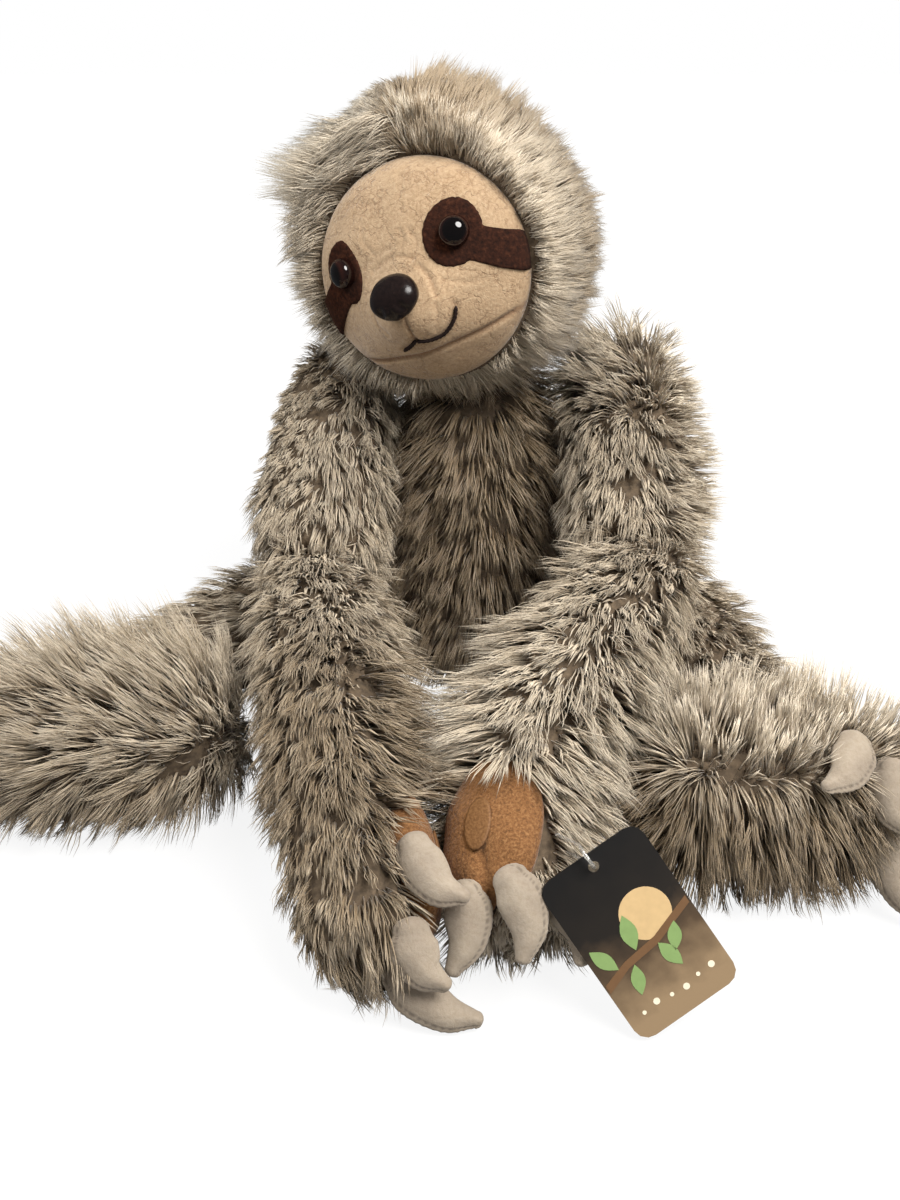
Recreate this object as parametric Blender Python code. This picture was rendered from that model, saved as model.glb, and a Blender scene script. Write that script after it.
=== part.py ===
"""A sitting plush sloth, built as the sewn and stuffed pieces of the real toy.

+Z is up, the sloth faces -Y and its left side is at +X. It sits on the origin. Each limb ends in a round
seam, a dome that lies in a dimple of the form it is sewn to, so it swivels about the middle of that dome.
"""

import math

import bmesh
import bpy
import numpy as np
from mathutils import Matrix, Vector
from mathutils.bvhtree import BVHTree

MM = 0.001

# Clearances
SEWN_GAP = 0.3 * MM
SWIVEL_GAP = 0.6 * MM

# Torso, a pear that stands on its flat base
TORSO_HEIGHT = 122 * MM
TORSO_BASE = 38 * MM
TORSO_HIP = 50 * MM
TORSO_WAIST = 47 * MM
TORSO_CHEST = 43.5 * MM
TORSO_DEPTH_SHARE = 0.86
NECK_RADIUS = 32 * MM

# Head, turned to its right, leaning to its right and level
HEAD_RISE = 72 * MM
HEAD_FORWARD = 15 * MM
HEAD_ASIDE = -14 * MM
HEAD_HALF_WIDTH = 61 * MM
HEAD_HALF_DEPTH = 56 * MM
HEAD_HALF_HEIGHT = 61 * MM
HEAD_LOW = 51 * MM
CREST_RISE = 8 * MM
HEAD_TURN = math.radians(24.5)
HEAD_LEAN = math.radians(23)
HEAD_NOD = math.radians(-3)
HOOD_OPENING = 24 * MM

# Face, a shell of velour over the stuffing
FACE_HALF_WIDTH = 46 * MM
FACE_HALF_HEIGHT = 43.5 * MM
FACE_DROP = 2.5 * MM
FACE_CROWN = 18 * MM
FACE_THICKNESS = 2.2 * MM
MUZZLE_RISE = 12 * MM
MUZZLE_HALF_WIDTH = 20 * MM
MUZZLE_HALF_HEIGHT = 15 * MM
MUZZLE_DROP = 17 * MM
CHIN_SEAM_DROP = 33 * MM
CHIN_SEAM_CURVE = 3 * MM
PATCH_THICKNESS = 0.9 * MM
PATCH_HALF_WIDTH = 10.5 * MM
PATCH_HALF_HEIGHT = 12.5 * MM
PATCH_RIM_CLEAR = 3.5 * MM
STRIPE_WIDTH = 11 * MM
STRIPE_FALL = math.radians(33)

# Eyes and nose, moulded with a ribbed shank that a washer grips behind the face
EYE_ASIDE = 25 * MM
EYE_RISE = 7 * MM
EYE_RADIUS = 6 * MM
EYE_HEIGHT = 4.6 * MM
NOSE_DROP = 10 * MM
NOSE_HALF_WIDTH = 11 * MM
NOSE_HALF_HEIGHT = 9 * MM
NOSE_DEPTH = 9 * MM
SHANK_RADIUS = 2 * MM
SHANK_LENGTH = 11 * MM
SHANK_RIB = 0.3 * MM
SHANK_RIBS = 3
SHANK_PLAIN = 3 * MM
WASHER_RADIUS = 6.5 * MM
WASHER_THICKNESS = 1.1 * MM
WASHER_RIM = 2.2 * MM
WASHER_PLAY = 0.15 * MM
POCKET_PLAY = 1.2 * MM
WASHER_DEPTH = FACE_THICKNESS + SEWN_GAP + 0.6 * MM
NOSE_WASHER_DROP = 2.6 * MM

# Arms: directions are a turn from straight ahead towards +X, and a drop below level
SHOULDER_HEIGHT = 127 * MM
SHOULDER_SHRUG = {-1: 0.0, 1: 5 * MM}
SHOULDER_OUT = 25 * MM
SHOULDER_FORWARD = 3 * MM
SHOULDER_RADIUS = 25 * MM
UPPER_ARM_LENGTH = 101 * MM
UPPER_ARM_HALF = 28 * MM
ELBOW_RADIUS = 23 * MM
ELBOW_CUFF = 17 * MM
CUFF_WALL = 1.5 * MM
FOREARM_LENGTH = 96 * MM
FOREARM_HALF = 27 * MM
HAND_LENGTH = 52 * MM
HAND_HALF_WIDTH = 25 * MM
HAND_HALF_DEPTH = 26 * MM

# Legs lie on the floor and curve forward to the feet
LEG_LENGTH = 117 * MM
LEG_HALF = 29 * MM
HIP_HEIGHT = 30.5 * MM
HIP_OUT = 15 * MM
HIP_AHEAD = math.radians(17)
HIP_RADIUS = 27 * MM
ANKLE_RADIUS = 21 * MM
ANKLE_HEIGHT = 27 * MM
ANKLE_OUT = 13 * MM
FOOT_HALF_LENGTH = 56 * MM
FOOT_HALF_WIDTH = 31 * MM
FOOT_HALF_HEIGHT = 33 * MM
REST_FLAT = 0.5 * MM

# Claws, three on each hand and foot
CLAW_HALF_WIDTH = 7 * MM
CLAW_HALF_THICKNESS = 3.5 * MM
CLAW_TIP_HALF = 2.8 * MM
CLAW_CURVE = 3 * MM
SEATING_STEP = 0.2 * MM

# Palms, each a crowned pad
PALM_HALF_LENGTH = 26 * MM
PALM_HALF_WIDTH = 18 * MM
PALM_CROWN = 8.5 * MM
PALM_SINK = 5.8 * MM
FASTENER_HALF_LENGTH = 9 * MM
FASTENER_HALF_WIDTH = 5 * MM
FASTENER_THICKNESS = 1 * MM

# Hang tag, a card on a loop through the wrist
TAG_WIDTH = 38 * MM
TAG_HEIGHT = 60 * MM
TAG_THICKNESS = 0.8 * MM
TAG_CORNER = 5 * MM
TAG_HOLE_RADIUS = 1.8 * MM
TAG_HOLE_INSET = 4.5 * MM
LOOP_WIRE = 0.6 * MM
LOOP_REACH = 42 * MM
TAG_ASIDE = 38.2 * MM
TAG_AHEAD = 41.1 * MM
TAG_RISE = 0.6 * MM

# Facets and cutters
SIDES = 18
BALL_SIDES = 24
FLOOR_REACH = 400 * MM
FLOOR_DEEP = 50 * MM
CUT_MARGIN = 10 * MM
CUT_STEP = 1 * MM
UP = Vector((0, 0, 1))


def heading(turn, drop):
    """A unit vector, turned in degrees from -Y towards +X and dropped below level."""
    a = math.radians(turn)
    b = math.radians(drop)
    return Vector((math.sin(a) * math.cos(b), -math.cos(a) * math.cos(b), -math.sin(b)))


def material(name, colour, roughness, metallic=0.0):
    found = bpy.data.materials.get(name)
    if found:
        return found
    made = bpy.data.materials.new(name)
    made.use_nodes = True
    shader = made.node_tree.nodes["Principled BSDF"]
    shader.inputs["Base Color"].default_value = (*colour, 1)
    shader.inputs["Roughness"].default_value = roughness
    shader.inputs["Metallic"].default_value = metallic
    made.diffuse_color = (*colour, 1)
    return made


def plush():
    return material("long_pile_plush", (0.52, 0.44, 0.35), 0.95)


def velour():
    return material("face_velour", (0.72, 0.5, 0.33), 0.9)


def palm_plush():
    return material("palm_plush", (0.66, 0.36, 0.16), 0.92)


def felt():
    return material("claw_felt", (0.72, 0.67, 0.58), 0.9)


def dark_cloth():
    return material("eye_patch_cloth", (0.05, 0.025, 0.018), 0.9)


def gloss_plastic():
    return material("eye_and_nose_plastic", (0.012, 0.008, 0.007), 0.12)


def washer_plastic():
    return material("washer_plastic", (0.8, 0.8, 0.78), 0.45)


def card():
    return material("tag_card", (0.16, 0.13, 0.1), 0.5)


def hook_tape():
    return material("fastener_tape", (0.6, 0.33, 0.16), 0.85)


def add_object(name, mesh, look=None):
    obj = bpy.data.objects.new(name, mesh)
    bpy.context.scene.collection.objects.link(obj)
    if look:
        mesh.materials.append(look)
    return obj


def guide(obj):
    """Marks a cutter, which isn't part of the toy."""
    obj.hide_render = True
    obj.display_type = "WIRE"
    return obj


def combine(obj, other, operation="DIFFERENCE"):
    step = obj.modifiers.new(operation.lower(), "BOOLEAN")
    step.operation = operation
    step.solver = "EXACT"
    step.object = guide(other)
    return obj


def mesh_of(name, points, faces):
    mesh = bpy.data.meshes.new(name)
    mesh.from_pydata([tuple(p) for p in points], [], faces)
    mesh.validate()
    shape = bmesh.new()
    shape.from_mesh(mesh)
    bmesh.ops.recalc_face_normals(shape, faces=shape.faces)
    shape.to_mesh(mesh)
    shape.free()
    mesh.shade_smooth()
    return mesh


def smooth_path(points, steps):
    """Points on a Catmull-Rom curve through rows of numbers, steps of them from each row to the next."""
    rows = np.array(points, float)
    ends = np.vstack([2 * rows[0] - rows[1], rows, 2 * rows[-1] - rows[-2]])
    t = np.linspace(0, 1, steps, endpoint=False)[:, None]
    found = []
    for i in range(len(rows) - 1):
        a, b, c, d = ends[i : i + 4]
        part = 2 * b + (c - a) * t + (2 * a - 5 * b + 4 * c - d) * t**2 + (3 * b - a - 3 * c + d) * t**3
        found.append(part / 2)
    found.append(rows[-1:])
    return np.vstack(found)


def stuffed_form(
    name, stations, look=None, steps=2, cap=4, sides=SIDES, start=1.0, end=1.0, grow=0.0, across=None
):
    """A form that swells and tapers along a curve. A station is (centre, half width, half height).

    The width lies along across, or level, and each end is half an ellipsoid, start or end times as long as it
    is wide, or flat where that is 0. grow moves the whole surface outwards.
    """
    rows = [[*centre, a, b] for centre, a, b in stations]
    line = smooth_path(rows, steps)
    centres = line[:, :3]
    halves = line[:, 3:] + grow
    along = np.gradient(centres, axis=0)
    along /= np.linalg.norm(along, axis=1)[:, None]
    if across is None:
        level = np.cross(along, UP)
    else:
        level = np.tile(np.array(across, float), (len(along), 1))
        level -= along * (level * along).sum(axis=1)[:, None]
    level /= np.linalg.norm(level, axis=1)[:, None]
    rise = np.cross(level, along)
    rings = []

    def ring(i, shift, share):
        a, b = halves[i] * share
        rings.append((centres[i] + along[i] * shift, level[i] * a, rise[i] * b))

    angles = [math.pi / 2 * k / cap for k in range(1, cap)]
    reach_start = halves[0].mean() * start
    reach_end = halves[-1].mean() * end
    if start:
        for angle in angles:
            ring(0, -reach_start * math.cos(angle), math.sin(angle))
    for i in range(len(line)):
        ring(i, 0.0, 1.0)
    if end:
        for angle in reversed(angles):
            ring(-1, reach_end * math.cos(angle), math.sin(angle))

    turn = 2 * math.pi * np.arange(sides) / sides
    points = [c + np.outer(np.cos(turn), u) + np.outer(np.sin(turn), v) for c, u, v in rings]
    points = list(np.vstack(points))
    faces = []
    for r in range(len(rings) - 1):
        for k in range(sides):
            n = (k + 1) % sides
            faces.append((r * sides + k, r * sides + n, (r + 1) * sides + n, (r + 1) * sides + k))
    poles = ((0, centres[0] - along[0] * reach_start), (len(rings) - 1, centres[-1] + along[-1] * reach_end))
    for r, place in poles:
        points.append(place)
        for k in range(sides):
            faces.append((r * sides + k, r * sides + (k + 1) % sides, len(points) - 1))
    return add_object(name, mesh_of(name, points, faces), look)


def ball(name, centre, radius):
    shape = bmesh.new()
    bmesh.ops.create_uvsphere(shape, u_segments=BALL_SIDES, v_segments=BALL_SIDES // 2, radius=radius)
    mesh = bpy.data.meshes.new(name)
    shape.to_mesh(mesh)
    shape.free()
    obj = add_object(name, mesh)
    obj.location = centre
    return obj


def dimple(obj, centre, radius):
    """Cuts the seat of a limb's round end, which swivels in it."""
    combine(obj, ball("dimple_cutter", centre, radius + SWIVEL_GAP))


def block(name, low, high):
    shape = bmesh.new()
    bmesh.ops.create_cube(shape, size=1)
    mesh = bpy.data.meshes.new(name)
    size = Vector(high) - Vector(low)
    bmesh.ops.scale(shape, vec=size, verts=shape.verts)
    bmesh.ops.translate(shape, vec=(Vector(high) + Vector(low)) / 2, verts=shape.verts)
    shape.to_mesh(mesh)
    shape.free()
    return add_object(name, mesh)


def stand_flat(obj):
    """Cuts away what lies below the floor, where the stuffing presses flat."""
    low = (-FLOOR_REACH, -FLOOR_REACH, -FLOOR_DEEP)
    combine(obj, block("floor_cutter", low, (FLOOR_REACH, FLOOR_REACH, 0)))


def placed(rows):
    """A 4 by 4 matrix from an origin and three axes."""
    origin, x, y, z = rows
    out = Matrix.Identity(4)
    for i, axis in enumerate((x, y, z, origin)):
        for k in range(3):
            out[k][i] = axis[k]
    return out


# Torso

TORSO_STATIONS = [
    (Vector((0, 0, 0)), TORSO_BASE),
    (Vector((0, 0, TORSO_HEIGHT * 0.07)), TORSO_HIP * 0.93),
    (Vector((0, 0, TORSO_HEIGHT * 0.25)), TORSO_HIP),
    (Vector((0, 0, TORSO_HEIGHT * 0.6)), TORSO_WAIST),
    (Vector((0, 0, TORSO_HEIGHT * 0.86)), TORSO_CHEST),
    (Vector((0, 0, TORSO_HEIGHT)), NECK_RADIUS),
]
NECK = Vector((0, 0, TORSO_HEIGHT))


def torso_half_width(height):
    heights = [place.z for place, half in TORSO_STATIONS]
    return float(np.interp(height, heights, [half for place, half in TORSO_STATIONS]))


SHOULDERS = {}
HIPS = {}
for side in (-1, 1):
    reach = torso_half_width(SHOULDER_HEIGHT * 0.9) + SHOULDER_OUT
    SHOULDERS[side] = Vector((side * reach, -SHOULDER_FORWARD, SHOULDER_HEIGHT + SHOULDER_SHRUG[side]))
    reach = torso_half_width(HIP_HEIGHT) + HIP_OUT
    ahead = reach * math.sin(HIP_AHEAD) * TORSO_DEPTH_SHARE
    HIPS[side] = Vector((side * reach * math.cos(HIP_AHEAD), -ahead, HIP_HEIGHT))


def make_torso():
    stations = [(place, half, half * TORSO_DEPTH_SHARE) for place, half in TORSO_STATIONS[:-1]]
    stations.append((NECK, NECK_RADIUS, NECK_RADIUS))
    torso = stuffed_form("torso", stations, plush(), sides=26, start=0, across=(1, 0, 0))
    for side in (-1, 1):
        dimple(torso, SHOULDERS[side], SHOULDER_RADIUS)
        dimple(torso, HIPS[side], HIP_RADIUS)
    return torso


# Head, in its own frame: X to the sloth's left, -Y ahead

def head_frame():
    turn = Matrix.Rotation(-HEAD_TURN, 3, "Z")
    nod = Matrix.Rotation(HEAD_NOD, 3, "X")
    lean = Matrix.Rotation(-HEAD_LEAN, 3, "Y")
    turned = (turn @ nod @ lean).to_4x4()
    centre = NECK + Vector((HEAD_ASIDE, -HEAD_FORWARD, HEAD_RISE))
    return Matrix.Translation(centre) @ turned


HEAD_FRAME = head_frame()


def face_height(x, z):
    """How far the face stands out ahead of the hood's opening: a crown, and the muzzle's broad bump."""
    upward = (z + FACE_DROP) / FACE_HALF_HEIGHT
    crown = FACE_CROWN * np.sqrt(np.clip(1 - (x / FACE_HALF_WIDTH) ** 2 - upward**2, 0, 1))
    across = (x / MUZZLE_HALF_WIDTH) ** 2
    upright = ((z + MUZZLE_DROP) / MUZZLE_HALF_HEIGHT) ** 2
    edge = np.clip(crown / (0.5 * FACE_CROWN), 0, 1)
    return crown + MUZZLE_RISE * np.exp(-across - upright) * edge


def face_point(x, z):
    return Vector((x, -HOOD_OPENING - float(face_height(x, z)), z))


def face_normal(x, z):
    step = 0.5 * MM
    along = face_point(x + step, z) - face_point(x - step, z)
    upward = face_point(x, z + step) - face_point(x, z - step)
    return along.cross(upward).normalized()


def face_surface(offset, rings=7, sides=28):
    """Rings of points over the face, moved out along its normals by offset, from the middle to the rim."""
    share = np.sin(np.linspace(0, math.pi / 2, rings + 1))[1:]
    turn = 2 * math.pi * np.arange(sides) / sides
    x = np.outer(share, np.cos(turn)) * FACE_HALF_WIDTH
    z = np.outer(share, np.sin(turn)) * FACE_HALF_HEIGHT - FACE_DROP
    step = 0.2 * MM
    slope_x = (face_height(x + step, z) - face_height(x - step, z)) / (2 * step)
    slope_z = (face_height(x, z + step) - face_height(x, z - step)) / (2 * step)
    normal = np.stack([-slope_x, -np.ones_like(x), -slope_z], axis=-1)
    radial = [np.cos(turn) / FACE_HALF_WIDTH, 0 * turn, np.sin(turn) / FACE_HALF_HEIGHT]
    normal[-1] = np.stack(radial, axis=-1)
    normal /= np.linalg.norm(normal, axis=-1)[..., None]
    points = np.stack([x, -HOOD_OPENING - face_height(x, z), z], axis=-1) + normal * offset
    middle = np.array(face_point(0, -FACE_DROP)) + np.array(face_normal(0, -FACE_DROP)) * offset
    return middle, points


def ring_triangles(base, count, sides):
    """Triangles between rings that start at base, cut along the same diagonals on every offset."""
    faces = []
    for r in range(count - 1):
        a = base + r * sides
        for k in range(sides):
            n = (k + 1) % sides
            faces.append((a + k, a + n, a + sides + n))
            faces.append((a + k, a + sides + n, a + sides + k))
    return faces


def face_solid(name, outer, inner, look=None, back=0.0):
    """A closed solid between two offsets of the face, or down to a plane at back where inner is None."""
    top, rings = face_surface(outer)
    count, sides = rings.shape[:2]
    points = [top, *rings.reshape(-1, 3)]
    faces = [(0, 1 + k, 1 + (k + 1) % sides) for k in range(sides)]
    faces += ring_triangles(1, count, sides)
    rim = 1 + (count - 1) * sides
    if inner is None:
        lower = rings[-1].copy()
        lower[:, 1] = back
        base = len(points)
        points += list(lower)
        for k in range(sides):
            n = (k + 1) % sides
            faces.append((rim + k, rim + n, base + n, base + k))
        faces.append(tuple(range(base, base + sides)))
    else:
        top, rings = face_surface(inner)
        base = len(points)
        points += [top, *rings.reshape(-1, 3)]
        faces += [(base, base + 1 + k, base + 1 + (k + 1) % sides) for k in range(sides)]
        faces += ring_triangles(base + 1, count, sides)
        low = base + rim
        for k in range(sides):
            n = (k + 1) % sides
            faces.append((rim + k, rim + n, low + n, low + k))
    obj = add_object(name, mesh_of(name, points, faces), look)
    obj.data.transform(HEAD_FRAME)
    return obj


def seated_frame(x, z):
    """The world frame of a fitting on the face: +Z out along the face's normal, +Y upwards."""
    out = face_normal(x, z)
    aside = Vector((0, 0, 1)).cross(out).normalized()
    rows = (face_point(x, z), aside, out.cross(aside), out)
    return HEAD_FRAME @ placed(rows)


def turned_solid(name, profile, frame, look=None, sides=16):
    """Revolves (radius, height) pairs about the frame's Z. The first and last lie on the axis."""
    turn = 2 * math.pi * np.arange(sides) / sides
    points = [(0, 0, profile[0][1])]
    for radius, height in profile[1:-1]:
        points += [(radius * math.cos(t), radius * math.sin(t), height) for t in turn]
    points.append((0, 0, profile[-1][1]))
    faces = [(0, 1 + k, 1 + (k + 1) % sides) for k in range(sides)]
    for r in range(len(profile) - 3):
        for k in range(sides):
            n = (k + 1) % sides
            a = 1 + r * sides
            faces.append((a + k, a + n, a + sides + n, a + sides + k))
    a = 1 + (len(profile) - 3) * sides
    faces += [(a + k, a + (k + 1) % sides, len(points) - 1) for k in range(sides)]
    obj = add_object(name, mesh_of(name, points, faces), look)
    obj.data.transform(frame)
    return obj


def shank_profile(seat):
    """The ribbed shank below a fitting's seat, as (radius, height) pairs from its seat to its end."""
    pitch = (SHANK_LENGTH - SHANK_PLAIN) / SHANK_RIBS
    pairs = [(SHANK_RADIUS, seat)]
    for k in range(SHANK_RIBS):
        height = seat - SHANK_PLAIN - pitch * k
        pairs.append((SHANK_RADIUS, height))
        pairs.append((SHANK_RADIUS + SHANK_RIB, height - 0.3 * pitch))
        pairs.append((SHANK_RADIUS, height - 0.7 * pitch))
    pairs.append((SHANK_RADIUS * 0.6, seat - SHANK_LENGTH))
    pairs.append((0, seat - SHANK_LENGTH))
    return pairs


def washer(name, frame, depth=WASHER_DEPTH):
    """A domed washer on the shank, its toothed hole as round as the ribs."""
    inner = SHANK_RADIUS + SHANK_RIB + WASHER_PLAY
    rim = [
        (inner, -depth),
        (WASHER_RADIUS - WASHER_RIM / 2, -depth),
        (WASHER_RADIUS, -depth - WASHER_THICKNESS * 0.5),
        (WASHER_RADIUS, -depth - WASHER_THICKNESS),
        (inner + WASHER_RIM, -depth - WASHER_THICKNESS),
        (inner, -depth - WASHER_THICKNESS * 1.6),
    ]
    sides = 16
    turn = 2 * math.pi * np.arange(sides) / sides
    points = [(r * math.cos(t), r * math.sin(t), h) for r, h in rim for t in turn]
    faces = []
    for r in range(len(rim)):
        for k in range(sides):
            n = (k + 1) % sides
            a = r * sides
            b = (r + 1) % len(rim) * sides
            faces.append((a + k, a + n, b + n, b + k))
    obj = add_object(name, mesh_of(name, points, faces), washer_plastic())
    obj.data.transform(frame)
    return obj


def drill(frame, radius, high, low):
    """A round cutter along a fitting's axis."""
    profile = [(0, high), (radius, high), (radius, low), (0, low)]
    return turned_solid("shank_cutter", profile, frame)


def eye_profile():
    seat = SEWN_GAP + PATCH_THICKNESS + SEWN_GAP
    dome = []
    for k in range(6):
        angle = math.pi / 2 * k / 6
        dome.append((EYE_RADIUS * math.sin(angle), seat + 0.8 * MM + EYE_HEIGHT * math.cos(angle)))
    dome.append((EYE_RADIUS, seat + 0.8 * MM))
    dome.append((EYE_RADIUS * 0.9, seat))
    return dome + shank_profile(seat)


EYE_SPOTS = {"left": (EYE_ASIDE, EYE_RISE), "right": (-EYE_ASIDE, EYE_RISE)}


def stripe_outline(side):
    """The patch in the face's X and Z: an oval round the eye with a stripe down to the rim, for cutting."""
    x0 = side * EYE_ASIDE
    z0 = EYE_RISE
    fall = Vector((side * math.cos(STRIPE_FALL), 0, -math.sin(STRIPE_FALL)))
    width = Vector((side * math.sin(STRIPE_FALL), 0, math.cos(STRIPE_FALL))) * (STRIPE_WIDTH / 2)
    middle = Vector((x0, 0, z0 - 3 * MM))
    far = middle + fall * (FACE_HALF_WIDTH * 0.8)
    ring = []
    for k in range(28):
        angle = 2 * math.pi * k / 28
        x = x0 + PATCH_HALF_WIDTH * math.cos(angle)
        ring.append(Vector((x, 0, z0 + PATCH_HALF_HEIGHT * math.sin(angle))))
    bar = [middle + width, far + width * 1.15, far - width * 1.15, middle - width]
    return ring, bar


def prism(name, outline, front, back):
    """Extrudes an outline in the head's XZ plane between two depths."""
    count = len(outline)
    points = [(p.x, front, p.z) for p in outline] + [(p.x, back, p.z) for p in outline]
    faces = [tuple(range(count)), tuple(reversed(range(count, 2 * count)))]
    for k in range(count):
        n = (k + 1) % count
        faces.append((k, n, count + n, count + k))
    obj = add_object(name, mesh_of(name, points, faces))
    obj.data.transform(HEAD_FRAME)
    return obj


def make_patch(name, side, spot):
    """Cuts the eye patch out of a thin layer that lies on the face."""
    patch = face_solid(name, SEWN_GAP + PATCH_THICKNESS, SEWN_GAP, dark_cloth())
    ring, bar = stripe_outline(side)
    front = -HOOD_OPENING - FACE_CROWN - MUZZLE_RISE - CUT_MARGIN
    back = -HOOD_OPENING - PATCH_RIM_CLEAR
    shape = prism("patch_oval_cutter", ring, front - CUT_STEP, back + CUT_STEP)
    combine(shape, prism("patch_stripe_cutter", bar, front, back), "UNION")
    combine(patch, shape, "INTERSECT")
    hole = SHANK_RADIUS + SHANK_RIB + SEWN_GAP
    combine(patch, drill(seated_frame(*spot), hole, CUT_MARGIN / 2, -CUT_MARGIN / 2))
    return patch


def chin_cutter(name, shift):
    """Everything below the chin seam, a shallow arc across the face."""
    wide = FACE_HALF_WIDTH * 1.2
    outline = []
    for k in range(13):
        x = wide * (1 - 2 * k / 12)
        rise = CHIN_SEAM_CURVE * (x / MUZZLE_HALF_WIDTH) ** 2 / 2
        outline.append(Vector((x, 0, -CHIN_SEAM_DROP + rise + shift)))
    low = -FACE_HALF_HEIGHT * 1.3
    outline += [Vector((-wide, 0, low)), Vector((wide, 0, low))]
    front = -HOOD_OPENING - FACE_CROWN - MUZZLE_RISE - 2 * CUT_MARGIN
    return prism(name, outline, front, -HOOD_OPENING + CUT_MARGIN)


def nose_form(name, look):
    """A rounded triangle, wide above and narrow below, crowned towards the front, on its shank."""
    sides = 24
    frame = seated_frame(0, -NOSE_DROP)
    turn = 2 * math.pi * np.arange(sides) / sides
    outline = []
    for t in turn:
        pinch = 1 - 0.2 * (1 - math.sin(t)) ** 2 / 4 + 0.05 * math.cos(3 * (t - math.pi / 2))
        outline.append((NOSE_HALF_WIDTH * math.cos(t) * pinch, NOSE_HALF_HEIGHT * math.sin(t)))
    seat = SEWN_GAP + 0.9 * MM
    layers = [(0.72, seat), (0.9, seat + 0.12 * NOSE_DEPTH)]
    for angle in (0, 0.4, 0.75, 1.05, 1.3):
        layers.append((math.cos(angle), seat + NOSE_DEPTH * (0.3 + 0.7 * math.sin(angle))))
    points = []
    for share, height in layers:
        points += [(x * share, y * share, height) for x, y in outline]
    faces = []
    for r in range(len(layers) - 1):
        for k in range(sides):
            n = (k + 1) % sides
            faces.append((r * sides + k, r * sides + n, (r + 1) * sides + n, (r + 1) * sides + k))
    points.append((0, 0, seat + NOSE_DEPTH))
    top = (len(layers) - 1) * sides
    faces += [(top + k, top + (k + 1) % sides, len(points) - 1) for k in range(sides)]
    points.append((0, 0, seat))
    faces += [((k + 1) % sides, k, len(points) - 1) for k in range(sides)]
    nose = add_object(name, mesh_of(name, points, faces), look)
    nose.data.transform(frame)
    overlap = [(0, seat + 1 * MM), (SHANK_RADIUS, seat + 1 * MM)]
    shank = turned_solid("nose_shank_guide", overlap + shank_profile(seat)[1:], frame)
    combine(nose, shank, "UNION")
    return nose, frame


def make_head():
    """The hood and the stuffing under the face are one form, with pockets for the washers."""
    centre = Vector((0, 0, 0))
    top = Vector((0, 0, HEAD_HALF_HEIGHT + CREST_RISE))
    rows = [
        (centre + Vector((0, 0, -HEAD_LOW * 0.97)), 0.26),
        (centre + Vector((0, 0, -HEAD_LOW * 0.8)), 0.62),
        (centre + Vector((0, 0, -HEAD_LOW * 0.45)), 0.9),
        (centre, 1.0),
        (centre + Vector((0, 0, HEAD_HALF_HEIGHT * 0.45)), 0.91),
        (centre + Vector((0, 0, HEAD_HALF_HEIGHT * 0.85)), 0.6),
        (top * 0.97, 0.26),
    ]
    stations = [(p, HEAD_HALF_WIDTH * share, HEAD_HALF_DEPTH * share) for p, share in rows]
    head = stuffed_form("head", stations, plush(), cap=2, sides=26, start=0.15, end=0.15, across=(1, 0, 0))
    head.data.transform(HEAD_FRAME)
    reach = HEAD_HALF_WIDTH * 1.3
    low = (-reach, -reach, -reach)
    front = block("hood_opening_cutter", low, (reach, -HOOD_OPENING + SEWN_GAP, reach))
    front.data.transform(HEAD_FRAME)
    combine(head, front)
    filling = face_solid("face_filling_guide", -FACE_THICKNESS - SEWN_GAP, None, back=-HOOD_OPENING + 3 * MM)
    combine(head, filling, "UNION")
    dimple(head, NECK, NECK_RADIUS)
    return head


def make_face():
    head = make_head()
    face = face_solid("face_panel", 0.0, -FACE_THICKNESS, velour())
    chin = face_solid("chin_panel", 0.0, -FACE_THICKNESS, velour())
    combine(face, chin_cutter("face_seam_cutter", SEWN_GAP))
    combine(chin, chin_cutter("chin_seam_cutter", 0.0), "INTERSECT")
    pocket = WASHER_RADIUS + POCKET_PLAY
    hole = SHANK_RADIUS + SHANK_RIB + SEWN_GAP
    deep = SHANK_LENGTH + SHANK_PLAIN
    for label, spot in EYE_SPOTS.items():
        frame = seated_frame(*spot)
        side = 1 if label == "left" else -1
        make_patch(label + "_eye_patch", side, spot)
        turned_solid(label + "_eye", eye_profile(), frame, gloss_plastic())
        washer(label + "_eye_washer", frame)
        combine(face, drill(frame, hole, CUT_MARGIN, -CUT_MARGIN))
        combine(head, drill(frame, pocket, FACE_THICKNESS, -deep))
    nose, frame = nose_form("nose", gloss_plastic())
    washer("nose_washer", frame, WASHER_DEPTH + NOSE_WASHER_DROP)
    combine(face, drill(frame, hole, CUT_MARGIN, -CUT_MARGIN))
    combine(head, drill(frame, pocket, FACE_THICKNESS, -deep))


# Arms

ARM_AIMS = {
    -1: {"upper": (-2, 32.5), "fore": (8, 12), "hand": (13, 22)},
    1: {"upper": (0, 31), "fore": (-29, 13), "hand": (-9, 30)},
}
SIDE_NAMES = {-1: "right", 1: "left"}
ELBOWS = {}
WRISTS = {}
HANDS = {}
for side, aims in ARM_AIMS.items():
    ELBOWS[side] = SHOULDERS[side] + heading(*aims["upper"]) * UPPER_ARM_LENGTH
    WRISTS[side] = ELBOWS[side] + heading(*aims["fore"]) * FOREARM_LENGTH
    HANDS[side] = WRISTS[side] + heading(*aims["hand"]) * HAND_LENGTH
    HANDS[side].z = HAND_HALF_DEPTH - REST_FLAT


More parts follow.
